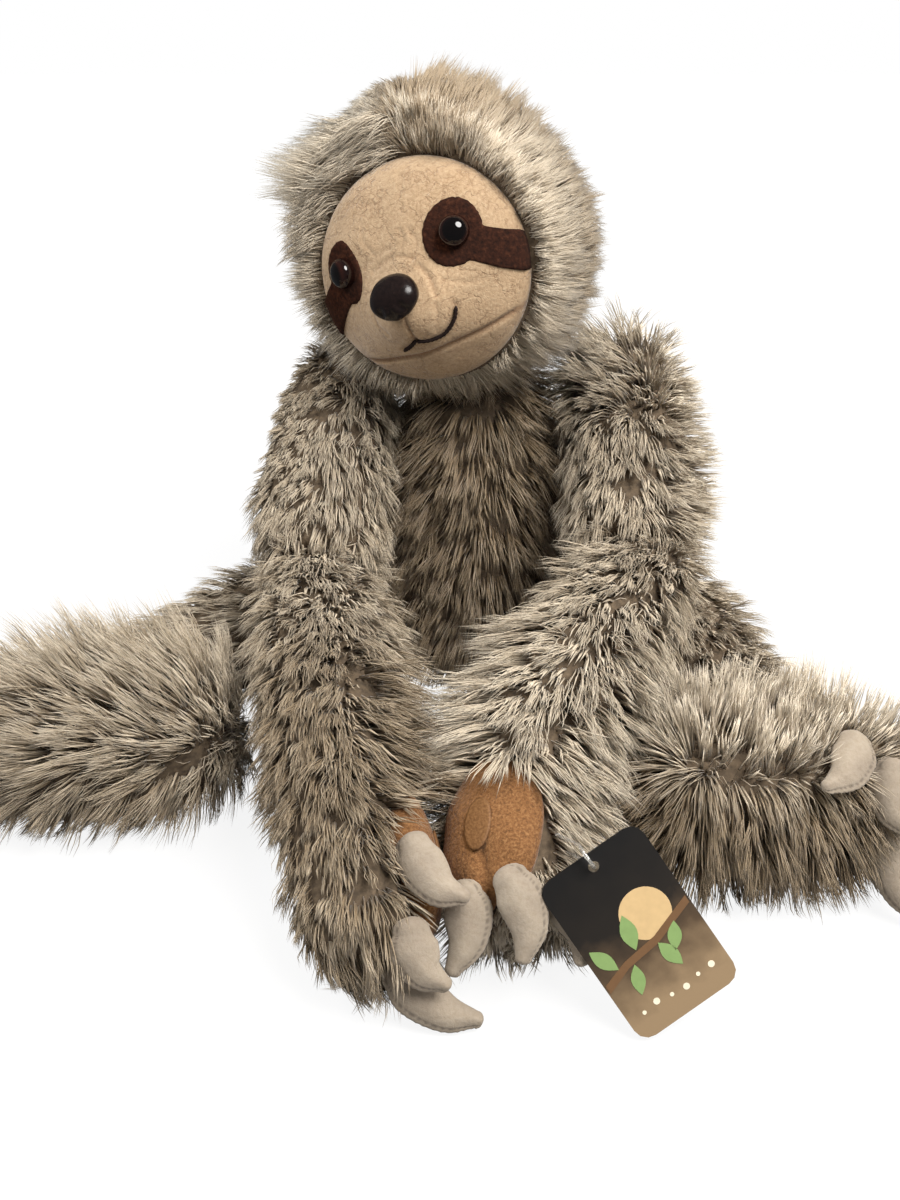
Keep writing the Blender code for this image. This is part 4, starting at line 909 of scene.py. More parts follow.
def make_head():
    """A stuffed ball, cut flat where the face is sewn in, with its pile combed back from the face.

    In what follows x, y and z are in the head's frame, and left and right are the viewer's.
    """
    shape = {"steps": 6, "cap": 4, "sides": 64, "start": 0.15, "end": 0.15, "across": (1, 0, 0)}
    grid, along = stuffed_grid(head_stations(), grow=-SKIN_SINK, **shape)
    grid[..., 1] = np.maximum(grid[..., 1], -HOOD_OPENING + 0.5 * MM)
    world = apply(HEAD_FRAME, grid)
    ways = turn_only(HEAD_FRAME, along)
    skin("head", world)

    def local(p):
        """Places in the head's frame."""
        return apply(HEAD_BACK, p)

    def in_world(rise, lie):
        """Both directions made unit length and turned from the head's frame to the world's."""
        return turn_only(HEAD_FRAME, unit(rise)), turn_only(HEAD_FRAME, unit(lie))

    def from_middle(p):
        """The direction away from the face's middle, across the head."""
        out = local(p) + np.array([0, 0, FACE_DROP])
        out[:, 1] = 0
        return unit(out)

    def keep(p):
        """Not under the face, nor over the neck."""
        x, y, z = local(p).T
        neck = np.linalg.norm(p - NECK, axis=1) > NECK_RADIUS - 6 * MM
        return ~((y < -HOOD_OPENING + 5 * MM) & (face_share(x, z) < 0.985)) & neck

    def comb(p, normal, way):
        """Back from the face and down behind. The crest's left lobe falls aside and its right one stands."""
        x, y, z = local(p).T[..., None]
        n = turn_only(HEAD_BACK, normal)
        back = over(y, 5, 45)
        top = over(z, 22, 48) * (1 - back)
        left = 1 - over(x, 7, 13)
        right = (1 - left) * (1 - over(x, 20, 45))
        away = from_middle(p) + np.array([0, 1.0, 0]) * (1 - back) + np.array([0, 0, -1.6]) * back
        aside = [(right * 0.5 - left * 0.6) * top, -left * top * 0.9, -left * top * 0.5]
        away = away + np.concatenate(aside, axis=1)
        away = unit(away - n * dot(away, n))
        flat = 1 - ease(y, -HOOD_OPENING + 1 * MM, -HOOD_OPENING + 10 * MM)
        crest = top * (1 - left) * 0.35
        rise = n * (0.62 + crest - flat * 0.22) + away * 0.7
        return in_world(rise, n * (0.42 + crest - flat * 0.2) + away * 0.9)

    def length(p):
        """Long on the crest's left lobe, short on its right one and at both sides, longer at the jaw."""
        x, y, z = local(p).T
        crest = over(z, 25, 55) * (9.5 * over(x, 12, 17) - 12)
        left = 24 * over(-x, 8, 19) * over(z, 24, 40)
        left = left * (1 - over(-x, 24, 38)) - 3 * over(-x, 34, 50)
        left = left - 6 * over(-x, 36, 50) * over(z, 12, 28)
        right = -4.5 * over(x, 30, 50) * over(z, -45, -30)
        right += 5 * over(x, 15, 35) * (1 - over(z, -48, -34)) * (1 - over(y, 0, 14))
        return (21 + crest + left + right) * MM

    def thick(p):
        """The pile is thickest next to the face, where its roots show."""
        y = local(p)[:, 1]
        return keep(p) * (1 + 1.6 * (y < -HOOD_OPENING + 8 * MM) + 0.3 * (y < 10 * MM))

    def painted_head_light(p):
        """Painted light and shade: paler next to the face, where the pile's sides show and its roots lie in
        shade, and to the left, which the lamps light less; darker on the right lobe, which they light
        strongly.
        """
        x, y, z = local(p).T
        near = 0.38 * ease(-y, -2 * MM, HOOD_OPENING - 3 * MM)
        left = 0.75 * (1 - over(x, -10, 12))
        return 0.24 + near + left - 0.8 * over(z, 25, 50) * over(x, -5, 12)

    coat("head", world, ways, comb, 28000, 6500, length, thick, painted_head_light, pieces=2,
         width=0.43 * MM, stops=SHORT_RINGS, foot=0.62, per=9, patchy=0.4)

    def fringe_root(p):
        """Along the face's upper edge, from its left to the parting."""
        x, y, z = local(p).T
        return keep(p) & (y < -HOOD_OPENING + 6 * MM) & (x < 11 * MM) & (z > 20 * MM)

    def fringe_comb(p, normal, way):
        """Forwards and then aside, over the forehead."""
        return in_world(np.array([-0.45, -0.75, 0.25]) + 0 * p, np.array([-0.85, -0.15, -0.45]) + 0 * p)

    fur("head_fringe", "head", world, ways, fringe_comb, 1500, 19 * MM, fringe_root, 0.85,
        spread=2.4 * MM, gather=0.4, width=0.42 * MM, foot=0.62, per=9, patchy=0.4)

    def rim_root(p):
        """Along the rest of the face's edge."""
        x, y, z = local(p).T
        return keep(p) & (y < -HOOD_OPENING + 4.5 * MM) & ~((x < 9 * MM) & (z > 18 * MM))

    def rim_comb(p, normal, way):
        """Straight out from the face's middle, a little forward at the root."""
        out = from_middle(p)
        return in_world(out * 0.5 + np.array([0, -0.8, 0]), out + np.array([0, 0.05, 0]))

    # Its tone of 1.0 is the palest: painted light against the shade at the face's edge.
    fur("head_rim", "head", world, ways, rim_comb, 2400, 15 * MM, rim_root, 1.0,
        spread=1.6 * MM, width=0.42 * MM, stops=SHORT_RINGS, foot=0.6, per=6, patchy=0.3)


def face_height(x, z):
    """How far the face stands out ahead of the hood's opening: a crown, and the muzzle's broad bump."""
    upward = (z + FACE_DROP) / FACE_HALF_HEIGHT
    crown = FACE_CROWN * np.sqrt(np.clip(1 - (x / FACE_HALF_WIDTH) ** 2 - upward**2, 0, 1))
    across = (x / MUZZLE_HALF_WIDTH) ** 2
    upright = ((z + MUZZLE_DROP) / MUZZLE_HALF_HEIGHT) ** 2
    edge = np.clip(crown / (0.5 * FACE_CROWN), 0, 1)
    return crown + MUZZLE_RISE * np.exp(-across - upright) * edge


def face_normals(x, z):
    """Unit normals of the face in the head's frame, from the slopes of its height."""
    step = 0.3 * MM
    slope_x = (face_height(x + step, z) - face_height(x - step, z)) / (2 * step)
    slope_z = (face_height(x, z + step) - face_height(x, z - step)) / (2 * step)
    return unit(np.stack([-slope_x, -np.ones_like(x), -slope_z], axis=-1))


def on_face(x, z, offset=0.0):
    """Points over the face, moved out along its normals, in the head's frame."""
    x, z = np.asarray(x, float), np.asarray(z, float)
    base = np.stack([x, -HOOD_OPENING - face_height(x, z), z], axis=-1)
    return base + face_normals(x, z) * np.asarray(offset, float)[..., None]


def gap_to_line(x, z, line):
    """The distance in the face's plan from each place to a broken line of (x, z) points in mm."""
    best = np.full(np.shape(x), 1.0)
    line = np.array(line) * MM
    for (ax, az), (bx, bz) in zip(line[:-1], line[1:]):
        dx, dz = bx - ax, bz - az
        t = np.clip(((x - ax) * dx + (z - az) * dz) / (dx * dx + dz * dz), 0, 1)
        best = np.minimum(best, np.hypot(x - ax - t * dx, z - az - t * dz))
    return best


CHIN_SEAM = [(x, -33 + 3 * (x / 20) ** 2 / 2) for x in range(-38, 39, 4)]
LIP_SEAM = [(0, -17), (-0.6, -21), (-1.4, -26.5)]
MOUTH_LEFT = [(-1.6, -26.8), (3.5, -28), (9, -27.6), (13, -25.6), (16.4, -22.4), (18.6, -18.2)]
MOUTH_RIGHT = [(-1.8, -26.4), (-6, -28), (-10.5, -28.8)]
CREASES = [
    ([(-12, 3.5), (-6, 5.6), (0, 5.8), (7, 3.2)], 0.5), ([(-15, 6.5), (-8, 9), (-2, 9.5)], 0.3),
    ([(1.5, 6), (5, 11), (4, 15)], 0.4), ([(9, 0), (12.5, -6), (13.5, -13)], 1.0),
    ([(12.5, -15), (11.5, -20.5), (8, -25)], 0.5), ([(7, 27), (8.5, 31), (7.5, 35)], 0.3),
    ([(16, 23.5), (22, 27), (28, 26)], 0.4), ([(-14, -7), (-16, -14), (-12.5, -21)], 0.6),
    ([(6, 2), (10, 8), (8, 14)], 0.5), ([(-10, 10), (-13, 16), (-12, 22)], 0.35),
    ([(17, -8), (24, -12), (31, -13)], 0.3), ([(-5, 27), (-14, 31), (-20, 30)], 0.3),
]


def make_face():
    """The face is one closed shell of rings over the crown and muzzle, its edge turned in and its back flat.

    The seams and creases are grooves, each as deep as a bell curve of the distance from its line.
    """
    rings, sides = 96, 240
    turn = ring_angles(sides)
    share = np.sin(np.linspace(0, math.pi / 2, rings))[:, None]
    x = share * np.cos(turn) * FACE_HALF_WIDTH * 0.9995
    z = share * np.sin(turn) * FACE_HALF_HEIGHT * 0.9995 - FACE_DROP
    seams = ((CHIN_SEAM, 1.5, 0.9), (LIP_SEAM, 0.9, 0.7), (MOUTH_LEFT, 0.6, 1.2), (MOUTH_RIGHT, 0.6, 1.2))
    groove = sum(depth * MM * bell(gap_to_line(x, z, line), wide * MM) for line, depth, wide in seams)
    for line, depth in CREASES:
        gap = gap_to_line(x, z, smooth_path(line, 5))
        groove += 0.55 * depth * MM * bell(gap, 0.8 * MM)
        groove -= 0.2 * depth * MM * bell(gap - 2 * MM, 1 * MM)
    puff = drift(np.stack([x, 0 * x, z], axis=-1), 17 * MM, 11)[..., 0] * 0.8 * MM
    outer = on_face(x, z, (puff - groove) * (1 - ease(share, 0.9, 1.0)))
    rim = []
    for inward, back in ((0.0, 0.9), (0.6, 1.7), (1.6, 2.2)):
        ring = outer[-1].copy()
        ring[:, 0] -= np.cos(turn) * inward * MM
        ring[:, 2] -= np.sin(turn) * inward * MM
        ring[:, 1] += back * MM
        rim.append(ring)
    inner = on_face(x[::-4], z[::-4], -FACE_THICKNESS)
    inner[..., 1] = np.minimum(inner[..., 1], -HOOD_OPENING + 2 * MM)
    grid = np.concatenate([outer, np.array(rim), inner[2:]])
    close_ends(grid)
    crease = np.zeros(grid.shape[:2])
    crease[: len(outer)] = np.clip(groove / (1.3 * MM), 0, 1) * 0.6
    face = grid_object("face_velour", apply(HEAD_FRAME, grid), VELOUR, {"crease": crease})
    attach(face, "head")
    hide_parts("face_panel", "chin_panel")


THREAD_RADIUS, THREAD_LAY, THREAD_SWELL = 0.75 * MM, 0.9 * MM, 0.12


def thread(name, path):
    """A round cord along a path, with rounded ends and a radius that swells in a spiral, as a twist does."""
    path = smooth_path(path, 10)
    along = unit(np.gradient(path, axis=0))
    level = unit(np.cross(along, np.array([0.31, 0.17, 0.93])))
    rise = np.cross(level, along)
    turn = ring_angles(10)
    far = np.concatenate([[0], np.cumsum(np.linalg.norm(np.diff(path, axis=0), axis=1))])
    swell = 1 + THREAD_SWELL * np.cos(2 * turn - far[:, None] / THREAD_LAY * math.pi)
    taper = np.minimum(1, np.sqrt(np.minimum(far, far[-1] - far) / THREAD_RADIUS + 0.15))
    size = THREAD_RADIUS * swell * taper[:, None]
    grid = path[:, None] + size[..., None] * (
        np.cos(turn)[:, None] * level[:, None] + np.sin(turn)[:, None] * rise[:, None]
    )
    first, last = (
        np.repeat((path[k] + sign * along[k] * THREAD_RADIUS * 0.4)[None, None], len(turn), axis=1)
        for k, sign in ((0, -1), (-1, 1))
    )
    return grid_object(name, np.concatenate([first, grid, last]), THREAD)


def make_mouth():
    """Embroidered lines that lie in the mouth's grooves."""
    for name, line in (("mouth_left", MOUTH_LEFT), ("mouth_right", MOUTH_RIGHT)):
        rows = smooth_path(np.array(line) * MM, 5)
        path = apply(HEAD_FRAME, on_face(rows[:, 0], rows[:, 1], 0.1 * MM))
        piece = thread(name, path[::2])
        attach(piece, "head")


EYE_PLACE = {-1: (-25.0, 7.0), 1: (25.0, 7.0)}
EYE_TILT = {-1: -20, 1: 12}
PATCH_HALF = (10.5 * MM, 12.5 * MM)
PATCH_INNER = {-1: 7.2 * MM, 1: 12.5 * MM}
STRIPE_WIDTH, STRIPE_FALL = 12 * MM, math.radians(33)
EYE_RADIUS, EYE_HEIGHT, EYE_SEAT = 6 * MM, 4.6 * MM, 1.5 * MM
NOSE_DROP, NOSE_DEPTH, NOSE_SEAT = 10 * MM, 9 * MM, 1.2 * MM


def make_patch(side):
    """An oval round the eye with a stripe out to the rim: rings that scale its outline about the eye.

    Its outline is as far from the eye, at each angle, as the further of the oval and the stripe.
    """
    sides, rings = 160, 26
    ex, ez = (v * MM for v in EYE_PLACE[side])
    turn = ring_angles(sides)
    c, s = np.cos(turn), np.sin(turn)
    half = np.where(c * side < 0, PATCH_INNER[side], PATCH_HALF[0])
    oval = 1 / np.sqrt((c / half) ** 2 + (s / PATCH_HALF[1]) ** 2)
    fall = np.array([side * math.cos(STRIPE_FALL), -math.sin(STRIPE_FALL)])
    wide = np.array([side * math.sin(STRIPE_FALL), math.cos(STRIPE_FALL)])
    onward = c * fall[0] + s * fall[1]
    aside = c * wide[0] + s * wide[1]
    shift = -2.5 * MM * wide[1]
    reach = np.linspace(0, 60 * MM, 1200)[:, None]
    half = STRIPE_WIDTH / 2 * (1 + 0.25 * reach / (40 * MM))
    inside = (np.abs(reach * aside - shift) < half) & (onward > 0)
    edge = np.maximum(oval, np.where(inside, reach, 0).max(axis=0))
    on = face_share(ex + reach * c, ez + reach * s) < 0.999
    edge = (np.roll(edge, 1) + 2 * edge + np.roll(edge, -1)) / 4
    edge = edge * (1 + 0.007 * np.sin(turn * 23) + 0.005 * np.sin(turn * 37 + 1))
    edge = np.minimum(edge, np.where(on, reach, 0).max(axis=0))
    share = np.linspace(0, 1, rings)[:, None] ** 0.9
    x, z = ex + share * edge * c, ez + share * edge * s
    swell = 0.75 * MM * np.sqrt(1 - np.clip(share, 0, 1) ** 14)
    lift = 0.2 * MM + swell + 0.5 * MM * ease(face_share(x, z), 0.8, 0.98)
    grid = np.concatenate([on_face(x, z, lift), on_face(x[::-5], z[::-5], -0.4 * MM)])
    close_ends(grid)
    patch = grid_object(SIDE_NAMES[side] + "_patch_velour", apply(HEAD_FRAME, grid), PATCH)
    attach(patch, "head")
    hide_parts(SIDE_NAMES[side] + "_eye_patch")


def fitting_frame(x, z):
    """The world frame of a fitting on the face: Z out along the normal, Y upwards."""
    x, z = x * MM, z * MM
    out = face_normals(np.array(x), np.array(z))
    aside = unit(np.cross(UP, out))
    return HEAD_FRAME @ columns(aside, np.cross(out, aside), out, on_face(x, z))


def make_eye(side):
    """A dome on a narrow rim, turned about the fitting's axis."""
    angle = np.linspace(0, math.pi / 2, 14)
    rows = [(EYE_RADIUS * math.sin(a), EYE_SEAT + 0.8 * MM + EYE_HEIGHT * math.cos(a)) for a in angle]
    rows += [(EYE_RADIUS * 0.99, EYE_SEAT + 0.3 * MM), (EYE_RADIUS * 0.95, EYE_SEAT - 2 * MM)]
    rows = np.array(rows + [(0, EYE_SEAT - 2 * MM)])
    turn = ring_angles(48)
    grid = np.stack([rows[:, :1] * np.cos(turn), rows[:, :1] * np.sin(turn), rows[:, 1:] + 0 * turn], axis=-1)
    share = rows[:, :1] / EYE_RADIUS + 0 * turn
    tilted = fitting_frame(*EYE_PLACE[side]) @ Matrix.Rotation(math.radians(EYE_TILT[side]), 4, "Y")
    eye = grid_object(SIDE_NAMES[side] + "_eye_dome", apply(tilted, grid), EYE, {"radius": share})
    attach(eye, "head")
    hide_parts(SIDE_NAMES[side] + "_eye")


def make_nose():
    """A rounded triangle, wide above and crowned in front, with a dent for each nostril low at its side."""
    sides, rings = 96, 40
    turn = ring_angles(sides)
    pinch = 1 - 0.2 * (1 - np.sin(turn)) ** 2 / 4 + 0.05 * np.cos(3 * (turn - math.pi / 2))
    share = np.sin(np.linspace(0, math.pi / 2, rings))[:, None]
    x = share * 11 * MM * np.cos(turn) * pinch
    y = share * 9 * MM * np.sin(turn)
    crown = 0.3 + 0.7 * (1 - share**2.4) ** 0.5
    height = NOSE_SEAT + NOSE_DEPTH * crown
    for spot in (-1, 1):
        dent = np.exp(-(((x - spot * 4.6 * MM) / (1.7 * MM)) ** 2 + ((y + 6.2 * MM) / (1.6 * MM)) ** 2))
        height = height - 1.7 * MM * dent
    height = height - 0.7 * MM * bell(x, 1.2 * MM) * over(-y, 3, 8)
    grid = np.stack([x, y, height], axis=-1)
    skirt = []
    for size, drop in ((0.97, 0.55), (0.9, 0.9), (0.75, 1.0)):
        ring = grid[-1].copy()
        ring[:, :2] *= size
        ring[:, 2] = NOSE_SEAT + (ring[:, 2] - NOSE_SEAT) * (1 - drop)
        skirt.append(ring)
    pole = np.repeat(np.array([[[0, 0, NOSE_SEAT]]]), sides, axis=1)
    grid = np.concatenate([grid, np.array(skirt), pole])
    close_ends(grid)
    nose = grid_object("nose_moulding", apply(fitting_frame(0, -NOSE_DROP / MM), grid), NOSE)
    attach(nose, "head")
    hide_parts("nose")


# Arms

CLAW_HALF_WIDTH, CLAW_HALF_THICKNESS, CLAW_TIP_HALF, CLAW_CURVE = 7 * MM, 3.5 * MM, 2.8 * MM, 3 * MM
HAND_CLAWS = {
    -1: [
        ((12, 3, 24.5), (27.5, -13, 17.5), (-0.58, -0.5, -0.62)),
        ((10, -12, 9.5), (20, -19, -5), (-0.78, -0.37, -0.47)),
        ((11, -14, -6), (35.5, -20, -19), (-0.44, -0.57, -0.69)),
    ],
    1: [
        ((7, -13, 13), (14, -22, -6), (0.9, 0.3, 0.2)),
        ((-10.5, -13, 11), (-14, -25, -9), (1, 0, 0.1)),
        ((-3, -15, 18.5), (1, -27, -2), (0.96, 0.11, 0.16)),
    ],
}
FOOT_CLAWS = {
    -1: [
        ((44, -8, 15), (68, -16, 9), (0.2, 1, 0.3)),
        ((48, -10, 0), (72, -18, -7), (0.2, 1, 0)),
        ((43, -8, -15), (66, -17, -22), (0.2, 1, -0.3)),
    ],
    1: [
        ((20, -12, 25), (7, -30, 19), (0.8, -0.5, -0.33)),
        ((31, -14.5, 16), (35, -28, 1), (-0.94, 0.16, -0.26)),
        ((36.5, -18, -4), (43, -32, -25), (-0.94, 0.1, -0.2)),
    ],
}


def claw_rows(side, where):
    """Root, tip and bow of each claw in metres, for a hand or a foot, before it is seated."""
    if where == "hand":
        return [tuple(HANDS[side] + np.array(p) * MM for p in (root, tip)) + (np.array(bend),)
                for root, tip, bend in HAND_CLAWS[side]]
    found = []
    for rows in FOOT_CLAWS[side]:
        root, tip, bend = (TOES[side] * x - FRONTS[side] * y + UP * z for x, y, z in rows)
        found.append((FEET[side] + root * MM, FEET[side] + tip * MM, bend))
    return found


def claw_stations(root, tip, bend, plump=0.0):
    """The claw's centres and halves. A plump one is rounder at its root and fuller behind its middle."""
    bow = unit(bend) * CLAW_CURVE
    wide, thick = CLAW_HALF_WIDTH, CLAW_HALF_THICKNESS
    return [
        (root, wide * 0.9 - plump, thick * 0.9 - plump * 0.2),
        (root + (tip - root) * 0.25 + bow * 0.7, wide + plump, thick + plump),
        (root + (tip - root) * 0.65 + bow, wide * 0.76 + plump, thick * 0.95 + plump * 0.7),
        (tip, CLAW_TIP_HALF - plump * 0.4, CLAW_TIP_HALF * 0.8),
    ]


def seated_claw(name, root, tip, bend):
    """The claw's root and tip where its solid is seated, which is its solid's box less its unseated one."""
    shape = {"steps": 2, "cap": 2, "sides": 10, "start": 0.3, "end": 0.8}
    rough = stuffed_grid(claw_stations(root, tip, bend), across=bend, **shape)[0].reshape(-1, 3)
    low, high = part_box(name)
    shift = (np.array(low) + np.array(high)) / 2 - (rough.min(0) + rough.max(0)) / 2
    return root + shift, tip + shift, bend


CLAWS = {}
for side in (-1, 1):
    for where in ("hand", "foot"):
        for number, rows in enumerate(claw_rows(side, where), 1):
            name = "%s_%s_claw_%d" % (SIDE_NAMES[side], where, number)
            CLAWS[name] = seated_claw(name, *rows)

# The stitches beside a claw's seam: how far round it they lie, and how far one is from the next along it
STITCH_TURN, STITCH_STEP = 0.42, 2.6


def make_claw(name, body):
    """A blunt stuffed claw of two felt sides, lens shaped, with a raised, stitched seam on its bowed edge."""
    root, tip, bend = CLAWS[name]
    sides = 52
    stations = claw_stations(root, tip, bend, 0.6 * MM)
    grid = stuffed_grid(stations, steps=12, sides=sides, start=1.1, across=bend)[0]
    centre = grid.mean(axis=1, keepdims=True)
    turn = ring_angles(sides)
    off = np.minimum(turn, 2 * math.pi - turn)
    beat = np.sin(np.arange(len(grid))[:, None] * STITCH_STEP)
    lens = 1 - 0.1 * np.abs(np.sin(2 * turn)) ** 1.5
    radius = np.linalg.norm(grid - centre, axis=-1, keepdims=True)
    out = unit(grid - centre)
    seam = 0.5 * MM * bell(off, 0.13) - 0.25 * MM * bell(off - STITCH_TURN, 0.12)
    seam = seam + 0.12 * MM * beat * bell(off, 0.4)
    grid = centre + out * (radius * lens[:, None] + seam[..., None] * np.minimum(radius / (2 * MM), 1))
    grid = grid + out * (drift(grid, 7 * MM, 8)[..., :1] * 0.3 * MM)
    close_ends(grid)
    stitch = 0.75 * bell(off - STITCH_TURN, 0.11) * (beat > -0.2)
    claw = grid_object(name + "_felt", grid, FELT, {"stitch": stitch})
    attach(claw, body)
    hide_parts(name)


def claw_room(where, *sides):
    """The room that claws of the hands or the feet take, as root, tip and radius."""
    names = tuple("%s_%s" % (SIDE_NAMES[side], where) for side in sides)
    return [(root, tip, 6 * MM) for name, (root, tip, bend) in CLAWS.items() if name.startswith(names)]


PALM_FACINGS = {-1: (1, 0.1, 0.2), 1: (-0.52, -0.32, 0.8)}
PALM_HALF = (18 * MM, 26 * MM, 8.5 * MM)
PALM_SINK = 5.8 * MM
TAPE_HALF = (5 * MM, 9 * MM)


def palm_frame(side):
    """The palm's frame: Y along the hand, Z out of the palm."""
    wrist, hand = WRISTS[side], HANDS[side]
    along = unit(hand - wrist)
    facing = np.array(PALM_FACINGS[side])
    out = unit(facing - along * (facing @ along))
    centre = wrist + (hand - wrist) * 0.72 + out * ((HAND_HALF_WIDTH + HAND_HALF_DEPTH) / 2 - PALM_SINK)
    return columns(np.cross(along, out), along, out, centre)


def make_palm(side):
    """A crowned pad, half an ellipsoid above the hand, with a smooth oval of tape on its crown."""
    name = SIDE_NAMES[side]
    turn = ring_angles(72)
    angle = np.linspace(0, math.pi, 44)[:, None]
    wide, high = np.sin(angle), np.cos(angle)
    ball = np.stack([wide * np.cos(turn), wide * np.sin(turn), high + 0 * turn], axis=-1)
    grid = ball * np.array(PALM_HALF)
    puff = drift(grid, 15 * MM, 21 + side)[..., :1]
    along = grid[..., 1:2]
    groove = bell(grid[..., :1] - side * MM + 0.25 * along, 2.2 * MM) * over(along, -4, 14)
    grid = grid + ball * (0.4 + puff * 1.3 - groove * 1.6) * MM
    close_ends(grid)
    palm = grid_object(name + "_palm_pad", apply(palm_frame(side), grid), PALM)
    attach(palm, name + "_forearm")
    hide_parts(name + "_palm")
    share = np.concatenate([np.linspace(0, 1, 12), [0.99], np.linspace(0.97, 0, 6)])[:, None]
    high = np.concatenate([np.full(11, 1.35), [1.1], [0.8], np.full(6, 0.4)])[:, None] * MM
    x, y = share * TAPE_HALF[0] * np.cos(turn), share * TAPE_HALF[1] * np.sin(turn)
    crown = PALM_HALF[2] * np.sqrt(1 - (x / PALM_HALF[0]) ** 2 - (y / PALM_HALF[1]) ** 2)
    grid = apply(palm_frame(side), np.stack([x, y, crown + high], axis=-1))
    tape = grid_object(name + "_palm_tape", grid, TAPE)
    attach(tape, name + "_forearm")
    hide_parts(name + ("_palm_loop_patch" if side == 1 else "_palm_hook_patch"))


def make_upper_arm(side):
    """A stuffed tube from the shoulder to the elbow's cuff."""
    name = SIDE_NAMES[side] + "_upper_arm"
    grid, along = stuffed_grid(upper_arm_stations(side), end=0.2, grow=-SKIN_SINK)
    skin(name, grid)

    def keep(p):
        """Not within the torso or the head, nor at the elbow."""
        elbow = np.linalg.norm(p - ELBOWS[side], axis=1) > ELBOW_RADIUS - 9 * MM
        return (depth_in(p, torso_stations()) < 2 * MM) & (head_ball(p) > 0.8) & elbow

    def outward(p, normal, way):
        """The outer side of the left arm stands straight out, and lies less along the arm."""
        plain = np.array([side * 0.1, 0, 0]) + 0 * p
        if side == -1:
            return plain
        outer = ease(normal[:, :1], 0.1, 0.9)
        inner = ease(-normal[:, :1], 0, 0.8) * over(p[:, 2:], 125, 145)
        top = ease(normal[:, 2:], 0.5, 0.95) * over(p[:, 2:], 125, 150)
        plain = plain + inner * (np.array([-0.9, -0.2, 0.6]) - way * 0.6)
        plain = plain + outer * (np.array([0.6, 0, 0.3]) - way * 0.7)
        return plain + top * (np.array([-1.0, 0, 0.6]) - way * 0.5)

    def length(p):
        """Longer on the left shoulder, and shorter on the outer side of each arm."""
        x, y, z = p.T
        if side == 1:
            return (22 + 7 * over(z, 130, 148) * (1 - over(x, 68, 80)) - 6 * over(x, 72, 84)) * MM
        return (21 - 10 * over(-x, 60, 78) * over(z, 95, 115)) * MM

    def shade(p):
        """Paler on the left arm's outer side and shoulder, painted light; darker on the right arm's shoulder,
        painted shade.
        """
        return 0.64 + 0.3 * over(p[:, 0], 60, 85) + 0.3 * side * over(p[:, 2], 125, 150)

    comb = combed(stand=0.5, lay=1.1, fall=0.1, push=outward)
    coat(name, grid, along, comb, 7200, 2500, length, keep, shade)


def make_forearm(side):
    """A stuffed tube from the elbow to the hand, with its palm and its claws."""
    name = SIDE_NAMES[side] + "_forearm"
    grid, along = stuffed_grid(forearm_stations(side), end=0.8, grow=-SKIN_SINK)
    skin(name, grid)
    palm = palm_frame(side).inverted()
    middle_line = smooth_path([[*c, a, b] for c, a, b in forearm_stations(side)], 6)

    def off_centre(p):
        """How far places lie to the left of the forearm's centre line."""
        return p[:, 0] - np.interp(-p[:, 1], -middle_line[:, 1], middle_line[:, 0])

    def keep(p):
        """Not under the palm, and thicker on the ridge of the wrist and hand."""
        q = apply(palm, p)
        pad = (q[:, 0] / PALM_HALF[0]) ** 2 + (q[:, 1] / PALM_HALF[1]) ** 2
        ridge = bell(off_centre(p), 7 * MM) * over(-p[:, 1], 60, 110)
        return ~((pad < 0.85) & (q[:, 2] > -14 * MM)) * (1 + 0.9 * ridge)

    def round_palm(p, normal, way):
        """Away from the palm, and sideways on the hand, which makes it look broad."""
        q = apply(palm, p)
        away = q.copy()
        away[:, 2] = 0
        beyond = np.maximum(np.hypot(q[:, 0] / 18, q[:, 1] / 26) / MM - 1, 0)
        near = np.exp(-beyond * 2.5) * (q[:, 2] > -16 * MM)
        hand = over(-p[:, 1], 110, 150)
        inner = ease(-side * normal[:, 0], 0.1, 0.9) * hand
        fill = np.array([-side * 0.8, 0, 0.15]) * inner[:, None]
        if side == 1:
            outer = ease(normal[:, 0], 0.1, 0.9) * hand
            fill = fill + np.array([0.7, 0, 0]) * outer[:, None]
            corner = bell(np.linalg.norm(p - np.array([24, -232, 45]) * MM, axis=1), 15 * MM)
            fill = fill + np.array([0.3, -1.5, 0.5]) * corner[:, None]
        return turn_only(palm_frame(side), unit(away)) * near[:, None] * 0.65 + fill

    def bushy(p):
        """Longer on the side of the wrist and hand that faces the other hand, shorter at the hand's end."""
        y = p[:, 1]
        hand = over(-y, 110, 150)
        inner = over(-side * off_centre(p), 2, 18) * hand
        outer = over(side * off_centre(p), 2, 18) * hand
        outer = outer * (4 if side == 1 else -2 - 6 * over(-y, 180, 205))
        return (23 + 7 * inner + outer - (18 if side == 1 else 3) * over(-y, 205, 235)) * MM

    def hand_painted_light(p):
        """Painted light and shade: towards the hand the left forearm turns paler and the right one darker."""
        return 0.64 + (0.45 if side == 1 else -0.5) * over(-p[:, 1], 110, 170)

    comb = combed(stand=0.52, lay=1.05, fall=0.12, push=round_palm)
    coat(name, grid, along, comb, 9900, 4200, bushy, keep, hand_painted_light, avoid=claw_room("hand", -1, 1))
    make_palm(side)
    for number in (1, 2, 3):
        make_claw("%s_hand_claw_%d" % (SIDE_NAMES[side], number), name)


# Legs

def make_leg(side):
    """A stuffed tube along the floor from the hip to the ankle."""
    name = SIDE_NAMES[side] + "_leg"
    grid, along = stuffed_grid(leg_stations(side), grow=-SKIN_SINK)
    skin(name, grid)

    def keep(p):
        """Not within the torso or the foot, nor underneath."""
        clear = depth_in(p, torso_stations()) < 2 * MM
        return clear & (depth_in(p, foot_stations(side)) < 2 * MM) & (p[:, 2] > 5 * MM)

    comb = combed(stand=0.6, lay=0.9, fall=0.15)
    coat(name, grid, along, comb, 5000, 2000, (19 if side == -1 else 22) * MM, keep, 0.6)


